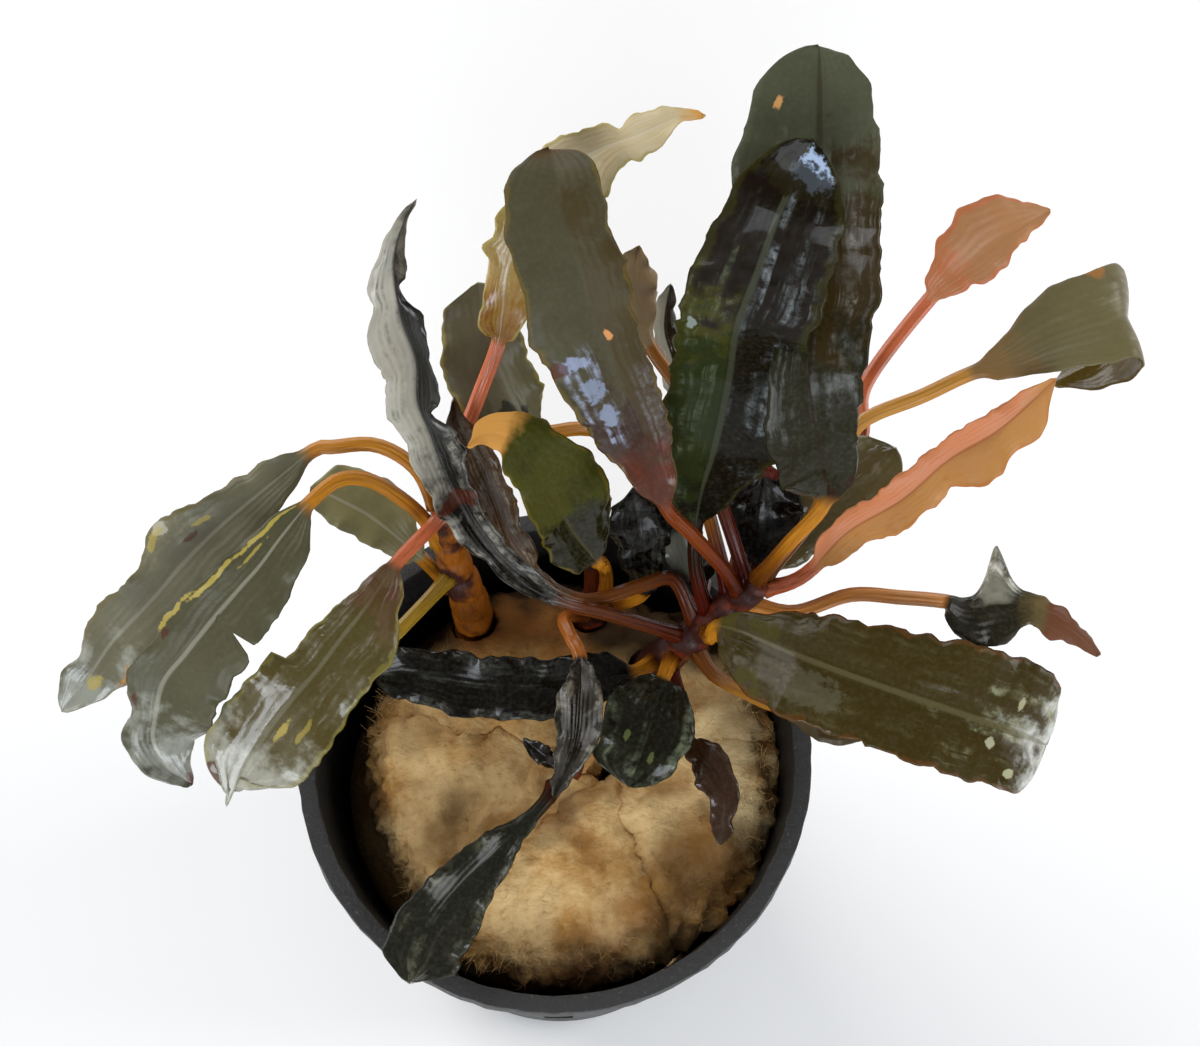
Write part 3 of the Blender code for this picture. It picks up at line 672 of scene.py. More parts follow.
def grow_leaf(name, stem, stalk, blade, right, left=None, tip=0.3, fold=8, wave=0.4, face=TOWARDS_VIEWER,
              curls=False, tone="dark", ruffle=0.25, lobe=0.22, notches=(), ragged=0.0, **skin):
    """One leaf, in place of its solid, with a skin of its own.

    right and left are half the blade's width at the shares in READ_AT, and fold is how far, in degrees, its
    halves are folded up. A notch is its side, its place along the blade, its depth and its reach, and a
    negative depth is a bulge.
    """
    left = left or right
    whole = smooth_line([start_on_stem(stem, stalk), *stalk[1:], *blade], LINE_POINTS)
    last = LINE_POINTS - 1
    foot = nearest(whole, Vector(stalk[-1]))
    step = sum((b - a).length for a, b in zip(whole, whole[1:])) / last
    length = (last - foot) * step
    stalk_rings, places = ring_places(foot, step)
    runs = []
    for t, at in places:
        reach = STALK_REACH
        if t >= 0:
            reach = BLADE_REACH * max(half_width(right, tip, t), half_width(left, tip, t))
        low, high = max(at - reach / step, 0), min(at + reach / step, last)
        runs.append((whole[round(high)] - whole[round(low)]).normalized())
    sideways = carried_sideways(runs, stalk_rings, face, curls)
    dice = random.Random(name)
    seeds = [dice.uniform(0, 50) for _ in range(8)]
    lean = radians(fold)
    sides = {1: (right, seeds[0:2], seeds[4:6]), -1: (left, seeds[2:4], seeds[6:8])}
    rings = []
    marks = []
    for (t, at), run, across in zip(places, runs, sideways):
        normal = across.cross(run)
        stalk_radius = STALK_RADIUS
        wide, shaken = {}, {}
        opened = 0.0
        if t < 0:
            stalk_radius *= 1 + FLARE * exp(-(t + 1) * foot * step / FLARE_LENGTH)
        else:
            for side, (widths, lobe_seeds, ruffle_seeds) in sides.items():
                nicks = [notch[1:] for notch in notches if notch[0] == side]
                wide[side] = margin(widths, tip, t, length, lobe, lobe_seeds, nicks)
                shaken[side] = ruffle * unsteady(ruffle_seeds, t * length)
            opened = 1.0 if t > FLAT_FROM else ease((max(wide.values()) / STALK_RADIUS - 1) / 1.2)
        ring = []
        for share, face_side, turn in SECTION:
            grooved = stalk_radius * (1 + RIDGE * cos(RIDGES * turn))
            corner = (across * cos(turn) + normal * sin(turn)) * grooved
            if opened > 0:
                side = 1 if share > 0 else -1
                away = abs(share)
                half = wide[side]
                ripple = wave * share ** 2 * sin(tau * WAVES * t + (WAVE_LAG if share > 0 else 0.0))
                crown = BELLY * half * sin(pi * away)
                thin = BLADE_THICKNESS / 2 * (1 - THIN_OUT * t) * sqrt(max(1 - away ** 6, 0.0))
                spine = exp(-(share * half / KEEL_WIDTH) ** 2) * (1 - KEEL_FADE * t)
                ridge = (KEEL if face_side > 0 else -UNDER_KEEL) * spine * abs(face_side)
                lift = away * half * sin(lean) + ripple + shaken[side] * away ** 4 + crown
                sheet = across * share * half * cos(lean) + normal * (lift + face_side * thin + ridge)
                if ragged and t > RAGGED_FROM:
                    torn = noise.noise((share * 3.1, seeds[0], 0.0))
                    sheet += run * ragged * (t - RAGGED_FROM) / 0.1 * torn
                corner = corner.lerp(sheet, opened)
            ring.append(part_way(whole, at) + corner)
        rings.append(ring)
        marks.append([(share, t, face_side) for share, face_side, turn in SECTION])
    mesh = rolled_skin(name + "_skin", rings, marks)
    add_piece(name + "_skin", mesh, leaf_skin(name + "_finish", **skin), name)
    print(name, "faces:", len(mesh.polygons))


# %% [markdown]
# ## The leaves on the left
# Three large leaves hang over the pot's left side from one stem, on golden stalks that arch up first.
# They are matte and grey-green, with a pale line along the midrib, yellow damage at the margins and torn
# wet tips whose shine is painted: pale zones and streaks of painted sheen. A blotch is set by its place
# on the leaf, so it stays where the damage is.

# %% Grow the left leaves
grow_leaf(
    "leaf_left_long", "stem_left", [(-11, 21.5, 64.5), (-13, 23, 70), (-16.5, 24.5, 72),
    (-20.5, 24.5, 71.5), (-22.5, 24.5, 70.5)],
    [(-26.5, 21.5, 69.5), (-31, 18.5, 67), (-35, 15.5, 64), (-38.5, 13, 60), (-42.5, 10, 56.5),
    (-45, 7.5, 53.5), (-48, 4.5, 51)],
    right=(2, 3, 3.5, 3, 2.5), left=(2, 4, 4.5, 4.5, 2.5), tip=0.6, tone="grey",
    notches=[(1, 0.41, -1.1, 3.2), (1, 0.56, 0.7, 2.2), (1, 0.7, -0.5, 2.5), (1, 0.84, 0.6, 1.5)],
    foot=0.1, dry=(112, 109, 89), wet=(70, 68, 54), wet_band=(0.85, 2), rib=(PALE, 0.25), mottle=0.6,
    edge=((112, 100, 60), 0.12, 0.5),
    zones=[((150, 148, 128), 0.5, 0.3, 0.6, 1, True), ((170, 172, 160), 0.7, 0.86, 2, 0, False)],
    blotches=[(0.85, 0.42, 0.16, 0.025, PALE, 0.6), (0.8, 0.45, 0.12, 0.03, YELLOW, 0.6),
    (0.45, 0.32, 0.08, 0.025, YELLOW, 0.7), (0.3, 0.37, 0.08, 0.02, BROWN, 0.8),
    (-0.9, 0.77, 0.2, 0.06, ORANGE, 0.9), (-0.3, 0.88, 0.25, 0.03, YELLOW, 0.7)])
grow_leaf(
    "leaf_left_middle", "stem_left", [(-11.5, 20, 60), (-12.5, 19.5, 66), (-15, 20.5, 70),
    (-17.5, 21, 72.5), (-20, 20.5, 73.5), (-22.5, 18.5, 73)],
    [(-25, 15.5, 72.5), (-27, 13, 71.5), (-29, 11, 70.5), (-31.5, 8.5, 69), (-34, 6, 67), (-36.5, 4, 64),
    (-37.5, 1.5, 61.5), (-38, -0.5, 59), (-37, -2.5, 57), (-34.5, -4, 55.5)],
    right=(2, 3, 3.5, 3, 1.5), left=(3, 4.5, 5.5, 5.5, 3.5), tip=0.6, tone="grey",
    notches=[(-1, 0.385, 2.6, 0.3), (1, 0.76, 0.5, 1.5), (1, 0.84, -0.8, 2.5), (-1, 0.8, -1, 3)],
    foot=0.1, dry=(87, 85, 67), wet=(70, 68, 54), wet_band=(0.8, 2), rib=(PALE, 0.35), mottle=0.5,
    zones=[((158, 160, 146), 0.55, 0.62, 0.95, 1, True), ((170, 172, 160), 0.6, 0.8, 0.97, 0, False)],
    blotches=[(0.75, 0.12, 0.1, 0.09, YELLOW, 0.9), (0.8, 0.3, 0.08, 0.1, YELLOW, 0.9),
    (0.9, 0.45, 0.08, 0.07, YELLOW, 0.8), (0.75, 0.51, 0.12, 0.02, BROWN, 0.8),
    (0.72, 0.71, 0.1, 0.02, BROWN, 0.8), (0.45, 0.2, 0.05, 0.05, YELLOW, 0.7),
    (-0.5, 1, 0.6, 0.03, BROWN, 0.9)])
grow_leaf(
    "leaf_left_front", "stem_left", [(-10.5, 20, 65), (-11.5, 17.5, 68.5), (-14.5, 14, 69)],
    [(-17, 10, 69.5), (-19.5, 7, 68.5), (-22, 4, 67), (-24.5, 1.5, 65.5), (-27, -1, 63), (-29, -3.5, 61),
    (-30, -5.5, 59.5)],
    right=(1.5, 2.5, 3, 4, 4), left=(2.5, 5, 5, 6, 5), tip=4.4, tone="olive", ragged=1.8,
    notches=[(1, 0.97, 0.8, 1), (-1, 0.88, -0.5, 1.5)],
    foot=0.1, dry=(106, 98, 70), wet=(88, 80, 52), wet_band=(0.15, 2), uneven=0.8, stalk_paint=SALMON,
    base=((92, 56, 38), 0.2), rib=((128, 124, 104), 0.45), edge=((140, 132, 72), 0.12, 0.5),
    zones=[((150, 146, 130), 0.55, 0.1, 0.8), ((176, 176, 162), 0.7, 0.8, 2, 0, False),
    (PALE, 0.8, 0.8, 2)],
    blotches=[(-0.2, 0.71, 0.06, 0.06, YELLOW, 0.8), (-0.5, 0.66, 0.05, 0.05, YELLOW, 0.5),
    (0.9, 0.97, 0.3, 0.04, BROWN, 0.8)])
grow_leaf(
    "leaf_left_under", "stem_left", [(-9.5, 17, 55), (-13, 13, 57), (-17, 9, 56.5)],
    [(-20.5, 7, 56), (-24.5, 6, 55), (-29.5, 6, 54)],
    right=(1.5, 2.5, 3, 2.5, 1.5), tone="grey",
    foot=0.1, dry=(136, 112, 46), stalk_paint=(160, 130, 58), wet_band=NEVER_WET)
grow_leaf(
    "leaf_left_back", "stem_left", [(-9, 17, 52), (-13, 18.5, 56)],
    [(-15.5, 20, 58.5), (-18.5, 22, 59.5), (-23.5, 24.5, 60)],
    right=(1.5, 3, 4, 4, 3), left=(1.5, 2, 2.5, 2.5, 2), tip=1, tone="grey",
    dry=(132, 127, 92), rib=(PALE, 0.3), wet_band=NEVER_WET)

# %% [markdown]
# ## The ribbons and the leaves behind them
# Two narrow ribbons rise left of the middle. One half of each is folded up and catches the light, which
# is painted on as a pale sheen, the other stays black, so both get a steep fold along the midrib. Behind
# them stand a grey leaf and a pale cream one on a salmon stalk, which is thin and catches the light. The
# cream one carries painted streaks of shine too.

# %% Grow the ribbons and their neighbours
grow_leaf(
    "leaf_upper_left", "stem_left", [(-10.5, 21, 65), (-9, 23.5, 72), (-7, 27.5, 76), (-5, 31.5, 80)],
    [(-4.5, 33.5, 83.5), (-4, 36, 87), (-2, 39.5, 91), (1, 42.5, 94.5), (4.5, 43.5, 97), (8, 44, 99),
    (11, 45, 100), (13.5, 45, 101)],
    right=(2.5, 3.5, 5, 3.6, 1.2), left=(2, 2.5, 2.5, 2.2, 1.2), wave=0.7, tone="olive", lobe=0.4,
    notches=[(1, 0.62, -0.6, 2.5), (1, 0.76, 0.5, 1.5)],
    foot=0.1, dry=(196, 180, 144), wet=(152, 126, 70), wet_band=(-0.2, 0.4), uneven=0.4,
    stalk_paint=SALMON, base=((134, 84, 44), 0.22), edge=((170, 156, 84), 0.15, 0.6),
    rib=((206, 200, 176), 0.5), end=((214, 156, 78), 0.96),
    zones=[((166, 160, 122), 0.8, 0.1, 0.35, -1, True), (PALE, 0.5, 0.45, 0.8)])
grow_leaf(
    "leaf_tall_ribbon", "stem_right", [(12, 11.5, 54), (8.5, 11.5, 57), (4.5, 11.5, 61), (1, 11.5, 64)],
    [(-2.5, 12.5, 66.5), (-6, 15, 70), (-8.5, 18, 74), (-10, 20.5, 77.5), (-11, 22.5, 81),
    (-12, 24.5, 84.5), (-12, 27, 88), (-13, 29, 92), (-13.5, 31, 95), (-13.5, 33, 98), (-12.5, 35, 101),
    (-11.5, 36, 103)],
    right=(2, 2, 2, 1.5, 1), left=(1, 2.5, 3, 4, 1.5), fold=35, wave=0.7,
    notches=[(-1, 0.66, 0.5, 2), (-1, 0.75, -0.5, 1.5), (-1, 0.79, 0.4, 0.9), (-1, 0.82, -0.6, 1.2),
    (1, 0.44, -1.1, 2.8), (1, 0.52, 1, 1.4), (1, 0.6, -0.7, 2), (1, 0.67, 0.4, 1.2), (1, 0.73, -0.8, 2.2),
    (1, 0.8, 0.9, 1.3), (1, 0.87, -0.5, 1.8)],
    dry=(56, 46, 32), wet=BLACK, stalk_paint=(96, 62, 32), mottle=0.3, gloss=0.2, streak_size=0.6,
    zones=[((176, 172, 158), 0.92, 0.36, 1, -1, False), ((46, 40, 32), 1, 0.34, 1, -1, True),
    ((150, 146, 134), 0.8, 0.02, 0.4), ((120, 112, 98), 0.8, 0.9, 2, 1, False)],
    blotches=[(0, 0.33, 1.2, 0.02, BROWN, 0.9)])
grow_leaf(
    "leaf_short_ribbon", "stem_right", [(14, 11.5, 54.5), (11.5, 15.5, 58.5), (8.5, 14.5, 60),
    (4.5, 13, 60.5), (2, 13, 60.5)],
    [(-1.5, 14.5, 62), (-4, 17, 65), (-5.5, 20, 69), (-7, 22.5, 73), (-8.5, 24.5, 76.5),
    (-9, 26.5, 79.5)],
    right=(1, 2, 2, 2, 1.5), left=(1, 1.5, 2, 2, 1.5), fold=30,
    dry=(124, 104, 66), wet=(84, 64, 36), ribbed=0.2, gloss=0.2, stalk_paint=(110, 72, 36),
    zones=[((160, 152, 132), 0.85, 0.05, 0.9)])
grow_leaf(
    "leaf_back_grey", "stem_right", [(17, 13.2, 58), (17.5, 20, 59.5), (11, 27, 63), (3.5, 27.5, 68),
    (-1, 26.5, 70)],
    [(-3.5, 27.5, 71.5), (-5.5, 32, 75), (-7, 38, 79)],
    right=(2.5, 3.5, 3.5, 3, 2), left=(2, 4.5, 5, 4.5, 3.5), tip=1.5, tone="grey",
    dry=(100, 94, 76), edge=((140, 128, 66), 0.1, 0.6), mottle=0.3, wet_band=NEVER_WET,
    zones=[((104, 100, 74), 0.6, -0.2, 0.5, 1, False)],
    blotches=[(-0.1, 0.25, 0.25, 0.06, BLACK, 0.8), (0.3, 0.2, 0.15, 0.04, BLACK, 0.8)])

# %% [markdown]
# ## The tall leaves
# Three broad leaves stand at the back and lean towards the viewer. The left one is dry and matte with a
# painted patch of blue shine, a reflection laid into its colour. The other two overlap: the front one is
# wet and nearly black below and dry above, where it arches over, and the back one is wet all over, with
# green and brown patches. Both carry painted grey streaks of shine, and the back one a painted blue-white
# highlight near its tip.

# %% Grow the tall leaves
grow_leaf(
    "leaf_upper_broad", "stem_right", [(18.5, 13.5, 60.5), (16, 14.5, 65.5), (13, 16, 71),
    (10.5, 17, 76)],
    [(9.5, 19.5, 80), (8, 22, 84), (6.5, 24, 88), (5, 26.5, 91.5), (3.5, 29, 94.5), (2.5, 32, 97.5),
    (1, 35.5, 100), (0.5, 39, 101), (0, 42, 100)],
    right=(1.8, 2.8, 3.5, 4, 4), left=(2.5, 4.5, 5.5, 5.5, 4.5), tip=2.5, tone="grey",
    gloss=0.12, dry=(86, 83, 68), wet=(68, 54, 38), wet_band=(-0.2, 0.4), uneven=0.4, mottle=0.25,
    stalk_paint=(128, 72, 38), base=((112, 64, 42), 0.18), edge=((112, 98, 60), 0.1, 0.6),
    end=((96, 74, 50), 0.985),
    # The blue-white and grey streaked zones and the blue-white blotches are a painted reflection of the
    # window.
    zones=[((80, 70, 44), 0.7, 0.2, 0.85, 1, False), ((170, 180, 204), 0.85, 0.26, 0.52, -1, True),
    ((120, 118, 120), 0.7, 0.1, 0.5, 1, True)],
    blotches=[(0.2, 0.53, 0.09, 0.014, (214, 150, 96), 0.95),
    (-0.6, 0.5, 0.25, 0.02, (150, 160, 186), 0.8), (-0.5, 0.42, 0.2, 0.03, (140, 150, 172), 0.8),
    (-0.45, 0.34, 0.2, 0.03, (140, 150, 172), 0.8), (-0.9, 0.5, 0.2, 0.02, (88, 60, 42), 0.8)])
grow_leaf(
    "leaf_tall_back", "stem_right", [(15.5, 12, 56.5), (14, 14.5, 59), (13.5, 16.5, 61), (13.5, 19, 64)],
    [(14, 21, 70), (15, 23, 76), (16, 26.5, 83.5), (16.5, 28.5, 92.5), (18, 31, 98.5), (19.5, 34, 103.5),
    (21, 37, 105.5), (22.5, 39.5, 108)],
    right=(3, 6.5, 6.4, 6.4, 5.5), left=(3.2, 5.4, 5.2, 5.5, 4.3), tip=2.2, fold=2,
    dry=(46, 48, 24), wet=(36, 32, 18), uneven=0.9, mottle=0.6, wet_rough=0.3, coat=0.12, foot=1,
    stalk_paint=(52, 36, 22), edge=((74, 72, 34), 0.2, 0.4), gloss=0.04, rib=((90, 94, 78), 0.45),
    # The grey streaked zones are painted shine, and the first blotch is a painted blue-white highlight.
    zones=[((64, 70, 42), 0.7, 0.08, 0.62, -1, False), ((92, 88, 36), 0.5, 0.55, 0.68, -1, False),
    ((44, 32, 22), 0.8, 0.66, 0.92, 0, False), ((150, 158, 160), 0.7, 0.3, 0.95, 1, True),
    ((132, 140, 118), 0.5, 0.1, 0.72, -1, True)],
    blotches=[(0.3, 0.955, 0.45, 0.035, (176, 196, 226), 0.85),
    (-0.78, 0.585, 0.09, 0.014, (150, 160, 156), 0.7), (0, 0.93, 0.8, 0.03, (56, 50, 26), 0.9)])
grow_leaf(
    "leaf_tall_front", "stem_right", [(20, 14, 63), (22, 15.5, 70), (25, 17.5, 76)],
    [(24.5, 19.5, 82), (23.5, 22, 86), (23, 24.5, 89), (23, 27.5, 91), (23.5, 31, 92.5), (23.5, 34.5, 95),
    (23.5, 38, 98), (23.5, 41.5, 101), (23.5, 45.5, 103), (23.5, 49, 103.5), (23.5, 50.5, 103)],
    right=(3, 4.5, 5.5, 5.5, 4.5), left=(4.2, 4.2, 3.4, 7.5, 6), tip=2,
    dry=(90, 92, 77), gloss=0.06, coat=0.15, wet=(56, 54, 32), wet_band=(-0.2, 0.68), uneven=0.2,
    mottle=0.25, rib=((60, 42, 32), 0.4),
    # The two grey streaked zones are painted shine.
    zones=[((72, 62, 36), 0.8, 0.45, 0.75, 1, False), ((160, 158, 148), 0.75, 0.5, 0.78),
    ((140, 144, 142), 0.4, 0.26, 0.44), ((66, 42, 24), 0.8, -0.2, 0.05, 0, False)],
    blotches=[(-0.6, 0.88, 0.07, 0.012, (226, 170, 110), 0.95)])

# %% [markdown]
# ## The leaves on the right
# Two leaves on long stalks reach far to the upper right. One is young and salmon, the other is grey and
# folds over at its end, so its sideways direction is carried along the curl. A young one below them is
# salmon and ochre. Then come a twisted dark leaf and a broad olive one whose end is folded down and
# shines: its white end and pale speckles are painted sheen and glints. Pale streaks on the others are
# painted shine as well.

# %% Grow the right leaves
grow_leaf(
    "leaf_back_right", "stem_right", [(16, 12.5, 57), (22, 18, 57), (27.5, 22.5, 59), (29.5, 28, 64.5),
    (29.5, 31, 71), (34.5, 34.5, 84)],
    [(37, 36, 86.5), (39.5, 37.5, 88.5), (42, 39, 89.5), (45, 41, 89)],
    right=(1.2, 2, 2, 1.6, 0.8), left=(1.5, 3.2, 4.8, 3.6, 1.8), wave=0.2, tone="young",
    notches=[(-1, 0.28, -0.5, 1), (-1, 0.42, 0.5, 1), (-1, 0.72, -0.4, 1)],
    dry=(174, 126, 88), wet=(160, 112, 78), stalk_paint=SALMON, base=((196, 112, 78), 0.35),
    edge=((186, 112, 78), 0.2, 0.8), wet_band=NEVER_WET)
grow_leaf(
    "leaf_right_upper", "stem_right", [(20, 14, 62.8), (24.5, 19, 67.5), (27, 23.5, 74), (29, 25.5, 76.5),
    (34, 27, 78.5), (38, 28.5, 80)],
    [(42, 29.5, 81.5), (46, 31, 83), (50, 32, 84), (52, 33, 83.5), (52.5, 33, 80.5), (50.5, 31, 77.5),
    (46.5, 29, 76)],
    right=(1.5, 3, 4, 5, 2.5), left=(1.5, 4, 5, 4.5, 3), wave=0.1, face=(-0.5, -0.3, 1), curls=True,
    tone="grey", ruffle=0.12, lobe=0.08,
    dry=(112, 104, 76), wet=(94, 80, 42), wet_band=(0.62, 2), mottle=0.3, base=((160, 110, 66), 0.2),
    stalk_paint=(196, 142, 72), rib=((126, 116, 90), 0.4),
    # The pale streaked zone is painted shine.
    zones=[((170, 164, 146), 0.6, 0.5, 0.66)],
    blotches=[(-0.95, 0.5, 0.14, 0.025, (170, 118, 72), 0.7)])
grow_leaf(
    "leaf_right_young", "stem_right", [(20, 14, 62), (22.5, 13.7, 63.5), (24.5, 14.5, 65.5)],
    [(27.5, 17, 68.5), (32.5, 19, 72.5), (36.5, 21.5, 76.5), (40.5, 23, 80), (43.5, 25, 82.5),
    (45.5, 26.5, 84.5)],
    right=(1.8, 2.2, 2.7, 3.6, 2.2), left=(1.6, 2, 2, 2.2, 1.5), fold=20, wave=0.5, tone="young",
    notches=[(1, 0.42, 0.4, 1.2), (1, 0.56, 0.3, 1), (1, 0.68, -0.5, 1.2), (1, 0.76, 0.9, 1.2),
    (1, 0.87, -0.5, 1.3)],
    rib=((166, 84, 58), 0.6), foot=0.1, dry=(192, 138, 84), wet=(186, 122, 60), wet_band=NEVER_WET,
    stalk_paint=SALMON, mottle=0.15, edge=((180, 112, 66), 0.12, 0.6),
    zones=[((212, 132, 96), 0.8, -0.2, 0.9, -1, False), ((176, 112, 52), 0.6, 0, 0.9, 1, True)])
grow_leaf(
    "leaf_right_twisted", "stem_right", [(18, 13.2, 59), (23, 11.8, 60), (28, 12, 65), (32.5, 11, 67.5),
    (36.5, 10, 69.5)],
    [(38.5, 9, 70.5), (41.5, 9, 71.5), (43.5, 9, 72), (46, 8, 72), (48.5, 6.5, 71), (50.5, 5, 69)],
    right=(2.5, 4, 2, 2, 1), left=(0.8, 1.6, 1.2, 1, 0.6), wave=0.3,
    notches=[(-1, 0.31, -4, 1.1)],
    foot=0.1, dry=(112, 98, 70), wet=(56, 52, 30), wet_band=(-0.2, 0.5), stalk_paint=(206, 138, 76),
    streak_size=0.5, gloss=0.2, end=((110, 76, 60), 0.6),
    # The white and greyish zones are painted sheen.
    zones=[((140, 138, 122), 0.8, 0.2, 0.42, -1, False), ((224, 220, 208), 0.95, 0.2, 0.44, -1, True),
    ((150, 130, 110), 0.8, 0.6, 2, -1, True)])
grow_leaf(
    "leaf_right_broad", "stem_right", [(16, 10.5, 55), (15, 9.5, 59), (15.5, 9.5, 63)],
    [(18, 8, 66), (23, 5, 68.5), (28.5, 2.5, 69.5), (34, 0.5, 69.5), (39, -1, 68.5), (43.5, -2, 66.5),
    (46, -2, 63)],
    right=(4, 6, 5, 5, 3.5), left=(2, 4.5, 5.5, 6.5, 6.5), tip=5.6, tone="olive",
    gloss=0.08, coat=0.2, dry=(84, 78, 44), wet=(74, 66, 34), wet_band=(0.1, 2), uneven=1.2, mottle=0.3,
    rib=((108, 102, 78), 0.6), edge=((104, 74, 46), 0.07, 0.6),
    # The white and pale zones at the folded end and the pale blotches are painted sheen and glints.
    zones=[((104, 100, 76), 0.5, 0.05, 0.9), ((212, 214, 206), 0.85, 0.94, 2, 0, False),
    ((170, 172, 140), 0.8, 0.78, 1)],
    blotches=[(0.45, 0.34, 0.3, 0.08, (112, 110, 92), 0.4), (0.3, 0.8, 0.1, 0.012, (196, 196, 164), 0.7),
    (0.7, 0.86, 0.09, 0.014, (200, 200, 160), 0.7), (-0.4, 0.84, 0.1, 0.01, (200, 200, 160), 0.6)])
grow_leaf(
    "leaf_right_under", "stem_right", [(13, 11, 52.7), (15.5, 7.5, 53), (18.5, 5.5, 54), (21.5, 4, 54.5)],
    [(26.5, 3, 56), (31.5, 2.5, 57), (36, 2.5, 57)],
    right=(1.5, 2.5, 3, 2.5, 1.5), tone="olive",
    dry=OLIVE, stalk_paint=(160, 112, 54), wet_band=NEVER_WET)
grow_leaf(
    "leaf_right_dark", "stem_right", [(18, 13.5, 59.5), (21, 16.5, 59)],
    [(24, 19, 61), (28, 22.5, 64), (32.5, 26, 67)],
    right=(1.5, 2.2, 2.8, 3, 2.8), left=(2, 3.5, 4, 3.8, 3.4), tip=2.6,
    dry=(130, 126, 96), wet=(96, 90, 66), streak_size=0.4, gloss=0.2,
    # The pale streaked zone is painted shine.
    zones=[((140, 136, 118), 0.7, 0.2, 0.95)])

# %% [markdown]
# ## The low leaves in front
# The leaves that lie low over the wool have stayed wet. They are nearly black, and what shows of them is
# mostly fine lengthwise streaks of shine, so they get small streaks of painted shine and little gloss
# elsewhere. The green-white glints on the dark one in front are painted too.

# %% Grow the low leaves
grow_leaf(
    "leaf_across_wool", "stem_right", [(10.5, 10, 50), (8, 8.5, 51)],
    [(4.5, 7.5, 51.5), (-1.5, 6.5, 52), (-8, 6.5, 52.5), (-14, 7.5, 53), (-17.5, 7.5, 53)],
    right=(2.5, 3, 3, 3, 2.5), left=(2, 3, 3.2, 3, 2.5), tip=1.5, wave=0.6, ruffle=0.4,
    dry=DARK, wet=BLACK, wrinkled=0.2, streak_size=0.4, gloss=0.09,
    zones=[((104, 106, 98), 0.7, 0.45, 1)])
grow_leaf(
    "leaf_front_folded", "stem_middle", [(3, 15, 48), (1, 13, 54), (1.5, 10, 58.5), (2.5, 7.5, 59.5)],
    [(2.5, 3, 60.5), (2, -1.5, 60.5), (0, -6, 58.5)],
    right=(1.4, 2.4, 2.6, 1.9, 1), fold=35, wave=0.2,
    streak_size=0.45, gloss=0.2, dry=(60, 50, 32), wet=(50, 42, 26), rib=(BLACK, 0.8),
    stalk_paint=(184, 112, 60),
    zones=[((160, 154, 138), 0.8, 0.1, 0.9)])
grow_leaf(
    "leaf_front_dark", "stem_right", [(11.5, 10.5, 51.5), (10.5, 7, 53.5)],
    [(9.5, 4, 54.5), (8.5, 0, 54.5), (7, -3.5, 53)],
    right=(2.5, 4, 4.5, 4.5, 4), left=(2.5, 4.5, 4.5, 4, 3), tip=2,
    dry=(68, 66, 42), wet=(46, 44, 26), streak_size=0.4, gloss=0.09,
    zones=[((128, 136, 112), 0.85, 0.2, 0.95)],
    # The two green-white blotches are painted glints.
    blotches=[(-0.3, 0.72, 0.07, 0.05, (120, 130, 84), 0.6), (0.4, 0.6, 0.06, 0.05, (120, 130, 84), 0.6)])
grow_leaf(
    "leaf_front_brown", "stem_right", [(11, 10.5, 50), (12.3, 5.5, 50.3), (13, 1.5, 51)],
    [(15, -0.5, 52), (16.5, -3, 52), (16.5, -5.5, 51), (16, -8.5, 49.5)],
    right=(1.5, 2.2, 2.5, 1.5, 1), left=(1.2, 1.4, 1.3, 1.3, 1), wave=0.1, tone="brown",
    dry=(84, 70, 46), wet=(70, 56, 34), stalk_paint=(80, 46, 28), streak_size=0.5, gloss=0.2,
    zones=[((100, 90, 76), 0.5, 0.1, 0.95)])
grow_leaf(
    "leaf_sliver", "stem_middle", [(2.5, -1, 48.8), (0.5, -0.5, 49.5)],
    [(-1, 0, 50.5), (-3, 1.5, 51.5)],
    right=(0.7, 0.9, 0.9, 0.7, 0.4), wave=0.1, tone="brown",
    dry=(52, 38, 22), wet=(40, 30, 18), gloss=0.15, streak_size=0.5, stalk_paint=(150, 92, 66))
grow_leaf(
    "leaf_over_rim", "stem_middle", [(0, -2.5, 49), (-1, -4.5, 50)],
    [(-5, -9, 51), (-9, -13.5, 52.8), (-12, -18, 54), (-13.5, -23, 54.5)],
    right=(1, 2, 2.8, 3, 3.5), left=(1, 2, 3.2, 4.2, 4), tip=2,
    dry=(88, 88, 70), wet=(54, 54, 42), uneven=1, mottle=1, streak_size=0.4, gloss=0.12,
    stalk_paint=(60, 44, 30),
    zones=[((118, 118, 98), 0.6, 0.2, 1)])

# %% [markdown]
# ## The crown
# The small leaves around the crown fill the dark middle of the plant and are nearly black. One of them
# is still green, with a yellow margin and an orange tip that curls over. The dark ones carry painted grey
# streaks and patches of shine.

